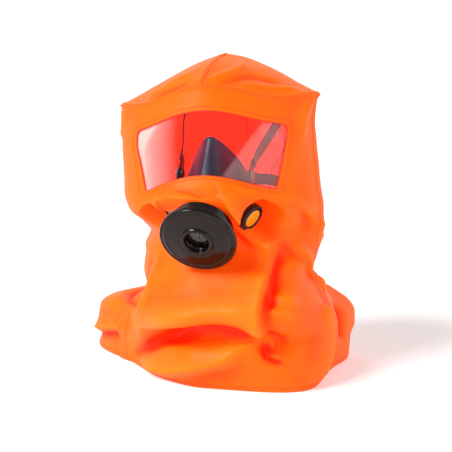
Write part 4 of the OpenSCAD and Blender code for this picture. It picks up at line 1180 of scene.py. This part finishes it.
def breathing_valves(finishes):
    """The covers of the two exhalation valves: barrel, grille and coloured disc."""
    ribs = rib_tree()
    for side, word in ((-1, "left"), (1, "right")):
        face, axis = valve_frame(side)
        barrel = lathe(softened([(13.6, -8.9), (19.6, -8.9), (20, -8.4), (20, -6.2), (19.5, -5.9), (19.5,
                                                                                                    -5.2),
                                 (20, -4.9), (20, -0.9), (19.2, 0), (18.2, 0), (17.8, -0.5), (17.8, -7),
                                 (13.6, -7),
                                 (13.6, -8.9)], 0.25), 128)
        seat = lathe(softened([(0, -2), (14.3, -2), (14.6, -1.6), (14.6, -0.4), (14.2, -0.1), (13.7, -0.2),
                               (13.6, -1), (0, -1)], 0.2), 96)
        net = [tube([(radius * math.cos(k), radius * math.sin(k), -0.9)
                     for k in np.arange(72) * 2 * math.pi / 72], 0.28, 8, closed=True) for radius in (15.6,
                                                                                                      16.7)]
        points, faces = joined([barrel, seat, *net])
        cover = solid(f"valve_cover_barrel_{word}", placed(points, face, axis), faces, 40)
        ready(cover, finishes["black_plastic"], "black_plastic", "hood", f"valve_cover_{word}")
        grille = grown(f"valve_grille_{word}", bpy.data.meshes.new("grille"), ribs,
                       {"Ribs": 36, "Radius": 16.1 * MM, "Length": 4.2 * MM, "Width": 0.6 * MM,
                        "Height": 0.9 * MM},
                       finishes["black_plastic"])
        settle(grille, face - 1.0 * axis, axis)
        ready(grille, finishes["black_plastic"], "black_plastic", "hood")
        disc = lathe(softened([(0, 0.5), (5, 0.45), (11.8, 0.15), (13.1, -0.1), (13.4, -0.5), (13.4, -0.94),
                               (0, -0.94)], 0.3), 96)
        top = solid(f"valve_disc_{word}", placed(disc[0], face, axis), disc[1], 50)
        ready(top, finishes["orange_disc"], "orange_disc", "hood", f"cover_disc_{word}")
        band = lathe(softened([(18.7, -13), (18.9, -12.9), (18.9, -9.2), (18.7, -9.05), (13.6, -9.05), (13.6,
                                                                                                        -13),
                               (18.7, -13)], 0.15), 128)
        clamp = solid(f"valve_band_{word}", placed(band[0], face, axis), band[1], 50)
        ready(clamp, finishes["clamp_steel"], "clamp_steel", "hood", f"valve_clamp_{word}")


STRAP_X = 54.3
UPPER = [(STRAP_X, -77, 309), (STRAP_X, -68, 318), (60, -45, 334), (72, 0, 367), (70, 40, 392), (56, 68,
                                                                                                 404),
         (40, 82, 406)]
UPPER_OUT = [(1, 0, 0), (1, 0, 0), (1, -0.3, 0.1), (1, 0, 0.3), (1, 0.3, 0.7), (0.6, 0.8, 0.9), (0.2, 1, 1)]
CRADLE = [(-40, 82, 406), (-20, 90, 409), (0, 92, 410), (20, 90, 409), (40, 82, 406)]
CRADLE_OUT = [(-0.2, 1, 1), (-0.1, 1, 1), (0, 1, 1), (0.1, 1, 1), (0.2, 1, 1)]
LOWER = [(STRAP_X, -80, 276), (STRAP_X, -70, 266), (62, -46, 255), (69.5, -20, 252), (71, -8, 252),
         (75.5, 28, 252),
         (77, 40, 252), (72, 64, 258), (56, 82, 265), (36, 90, 268), (20, 90, 268), (3, 90, 268)]
CORD = [(74.5, -4, 356), (81, -8, 345), (84, -16, 330), (79, -28, 314), (70, -38, 298), (68, -40, 280),
        (67, -38, 265)]


def strap(name, path, outs, width, thick=1.8):
    """Webbing along a path, with rolled edges and its weave laid out along it."""
    path, outs = smooth_path(path, 12), smooth_path(outs, 12)
    along = unit(np.gradient(path, axis=0))
    side = unit(np.cross(along, outs))
    out = np.cross(side, along)
    w, t = width / 2, thick / 2
    section = ([(-w, 0), (-w + 0.35, t * 0.8), (-w + 1.1, t)]
               + [(x, t * 0.92) for x in np.linspace(-w + 2, w - 2, 7)]
               + [(w - 1.1, t), (w - 0.35, t * 0.8), (w, 0), (w - 0.35, -t * 0.8), (w - 1.1, -t)]
               + [(x, -t * 0.92) for x in np.linspace(w - 2, -w + 2, 7)]
               + [(-w + 1.1, -t), (-w + 0.35, -t * 0.8)])
    m, n = len(section), len(path)
    points = np.array([[path[i] + x * side[i] + y * out[i] for x, y in section]
                       for i in range(n)]).reshape(-1, 3)
    faces = [(i * m + k, i * m + (k + 1) % m, (i + 1) * m + (k + 1) % m, (i + 1) * m + k)
             for i in range(n - 1) for k in range(m)] + [tuple(reversed(range(m))),
                                                         tuple(range((n - 1) * m, n * m))]
    piece = mesh_object(name, points, faces)
    run = np.concatenate([[0], np.cumsum(np.linalg.norm(np.diff(path, axis=0), axis=1))])
    weave = piece.data.uv_layers.new(name="weave")
    for loop in piece.data.loops:
        i, k = divmod(loop.vertex_index, m)
        weave.data[loop.index].uv = (section[k][0] * MM, run[i] * MM)
    rows = [path + sign * (w - 2.2) * side + (t + 0.1) * out for sign in (-1, 1)]
    return piece, rows


def head_harness(finishes):
    """The straps of the head harness, their stitching and pivots."""
    middle = np.array([MASK_X, 0, 0])
    rows, straps = [], []
    for side, word in ((-1, "left"), (1, "right")):
        mirror = np.array([side, 1, 1])
        for kind, path, outs in (("upper_strap", UPPER, UPPER_OUT),
                                 ("neck_strap", LOWER, [(x, 0 if y < -60 else y - 20, 0) for x, y,
                                                        _ in LOWER])):
            piece, edges = strap(f"{kind}_webbing_{word}", np.array(path) * mirror + middle,
                                 np.array(outs) * mirror, 18)
            ready(piece, finishes["strap_webbing"], "strap_webbing", "harness", f"{kind}_{word}")
            straps.append(piece)
            rows += edges
    piece, edges = strap("crown_cradle_webbing", np.array(CRADLE) + middle, np.array(CRADLE_OUT), 25.2)
    ready(piece, finishes["strap_webbing"], "strap_webbing", "harness", "crown_cradle")
    rows += edges
    thread = stitches("harness_stitching", rows, finishes["soft_rubber"], 3.0, 2.2, 0.5)
    ready(thread, finishes["soft_rubber"], "strap_webbing", "harness")
    for word in ("left", "right"):
        ready(rounded_copy(f"yoke_plate_{word}", f"yoke_{word}", 0.5), finishes["black_plastic"],
              "black_plastic",
              "harness", f"yoke_{word}")
        ready(rounded_copy(f"strap_adjuster_{word}", f"adjuster_{word}", 0.7), finishes["black_plastic"],
              "black_plastic", f"adjuster_{word}", f"adjuster_{word}")
    ready(rounded_copy("nape_clasp", "neck_clasp", 0.8), finishes["black_plastic"], "black_plastic",
          "harness",
          "neck_clasp")
    # the pivots' caps: a low dome with slanting ridges for the thumb
    for side, word in ((-1, "left"), (1, "right")):
        centre, axis = np.array([MASK_X + side * 53.05, -90, 294]), np.array([side, 0, 0])
        dome = lathe(softened([(0, 3.0), (4.5, 2.9), (6.2, 2.6), (6.5, 3.3), (7.3, 3.4), (7.9, 2.8),
                               (8, 0.3), (7.7, 0),
                               (0, 0)], 0.3), 96)
        bars = []
        for x in np.arange(-4.8, 5, 1.6):
            reach = math.sqrt(5.7 ** 2 - x ** 2)
            ends = np.array([(x, -reach, 2.95), (x, 0, 3.05), (x, reach, 2.95)])
            turn = math.radians(35)
            spin = np.array([[math.cos(turn), math.sin(turn), 0], [-math.sin(turn), math.cos(turn), 0],
                             [0, 0, 1]])
            bars.append(tube(ends @ spin, 0.42, 8))
        points, faces = joined([dome, *bars])
        cap = solid(f"pivot_cap_{word}", placed(points, centre, axis), faces, 40)
        ready(cap, finishes["grey_plastic"], "grey_plastic", "hood", f"stud_cap_{word}")


def retainer_cord(finishes):
    """The thin cord that hangs in a loop beside the right strap."""
    path = smooth_path(CORD, 5) + [MASK_X, 0, 0]
    points, faces = tube(path, 1.0, 12)
    cord = solid("retainer_cord_black", points, faces, 80)
    ready(cord, finishes["soft_rubber"], "soft_rubber", "harness", "retainer_cord")


def cad_nodes(finishes):
    """The CAD nodes that keep their own shape get the finish of their slot."""
    slots = {item["node"]: item["material_slot"] for item in frame["record"]["subparts"]}
    for name, piece in frame["nodes"].items():
        material = finishes[slots[name]]
        if not piece.material_slots:
            piece.data.materials.append(material)
        for held in piece.material_slots:
            held.material = material


def build():
    finishes = make_finishes()
    camera_and_light()
    retainer_cord(finishes)
    cad_nodes(finishes)
    front, left, right, seams, border, binding = hood_and_window(finishes)
    half_mask(finishes)
    filter_shells(finishes)
    breathing_valves(finishes)
    head_harness(finishes)
    for node_name, slot_name, body in (("port_clamp", "black_plastic", "hood"), ("filter_socket",
                                                                                 "black_plastic", "hood")):
        ready(rounded_copy(f"{node_name}_ring", node_name, 0.4), finishes[slot_name], slot_name, body,
              node_name)


build()
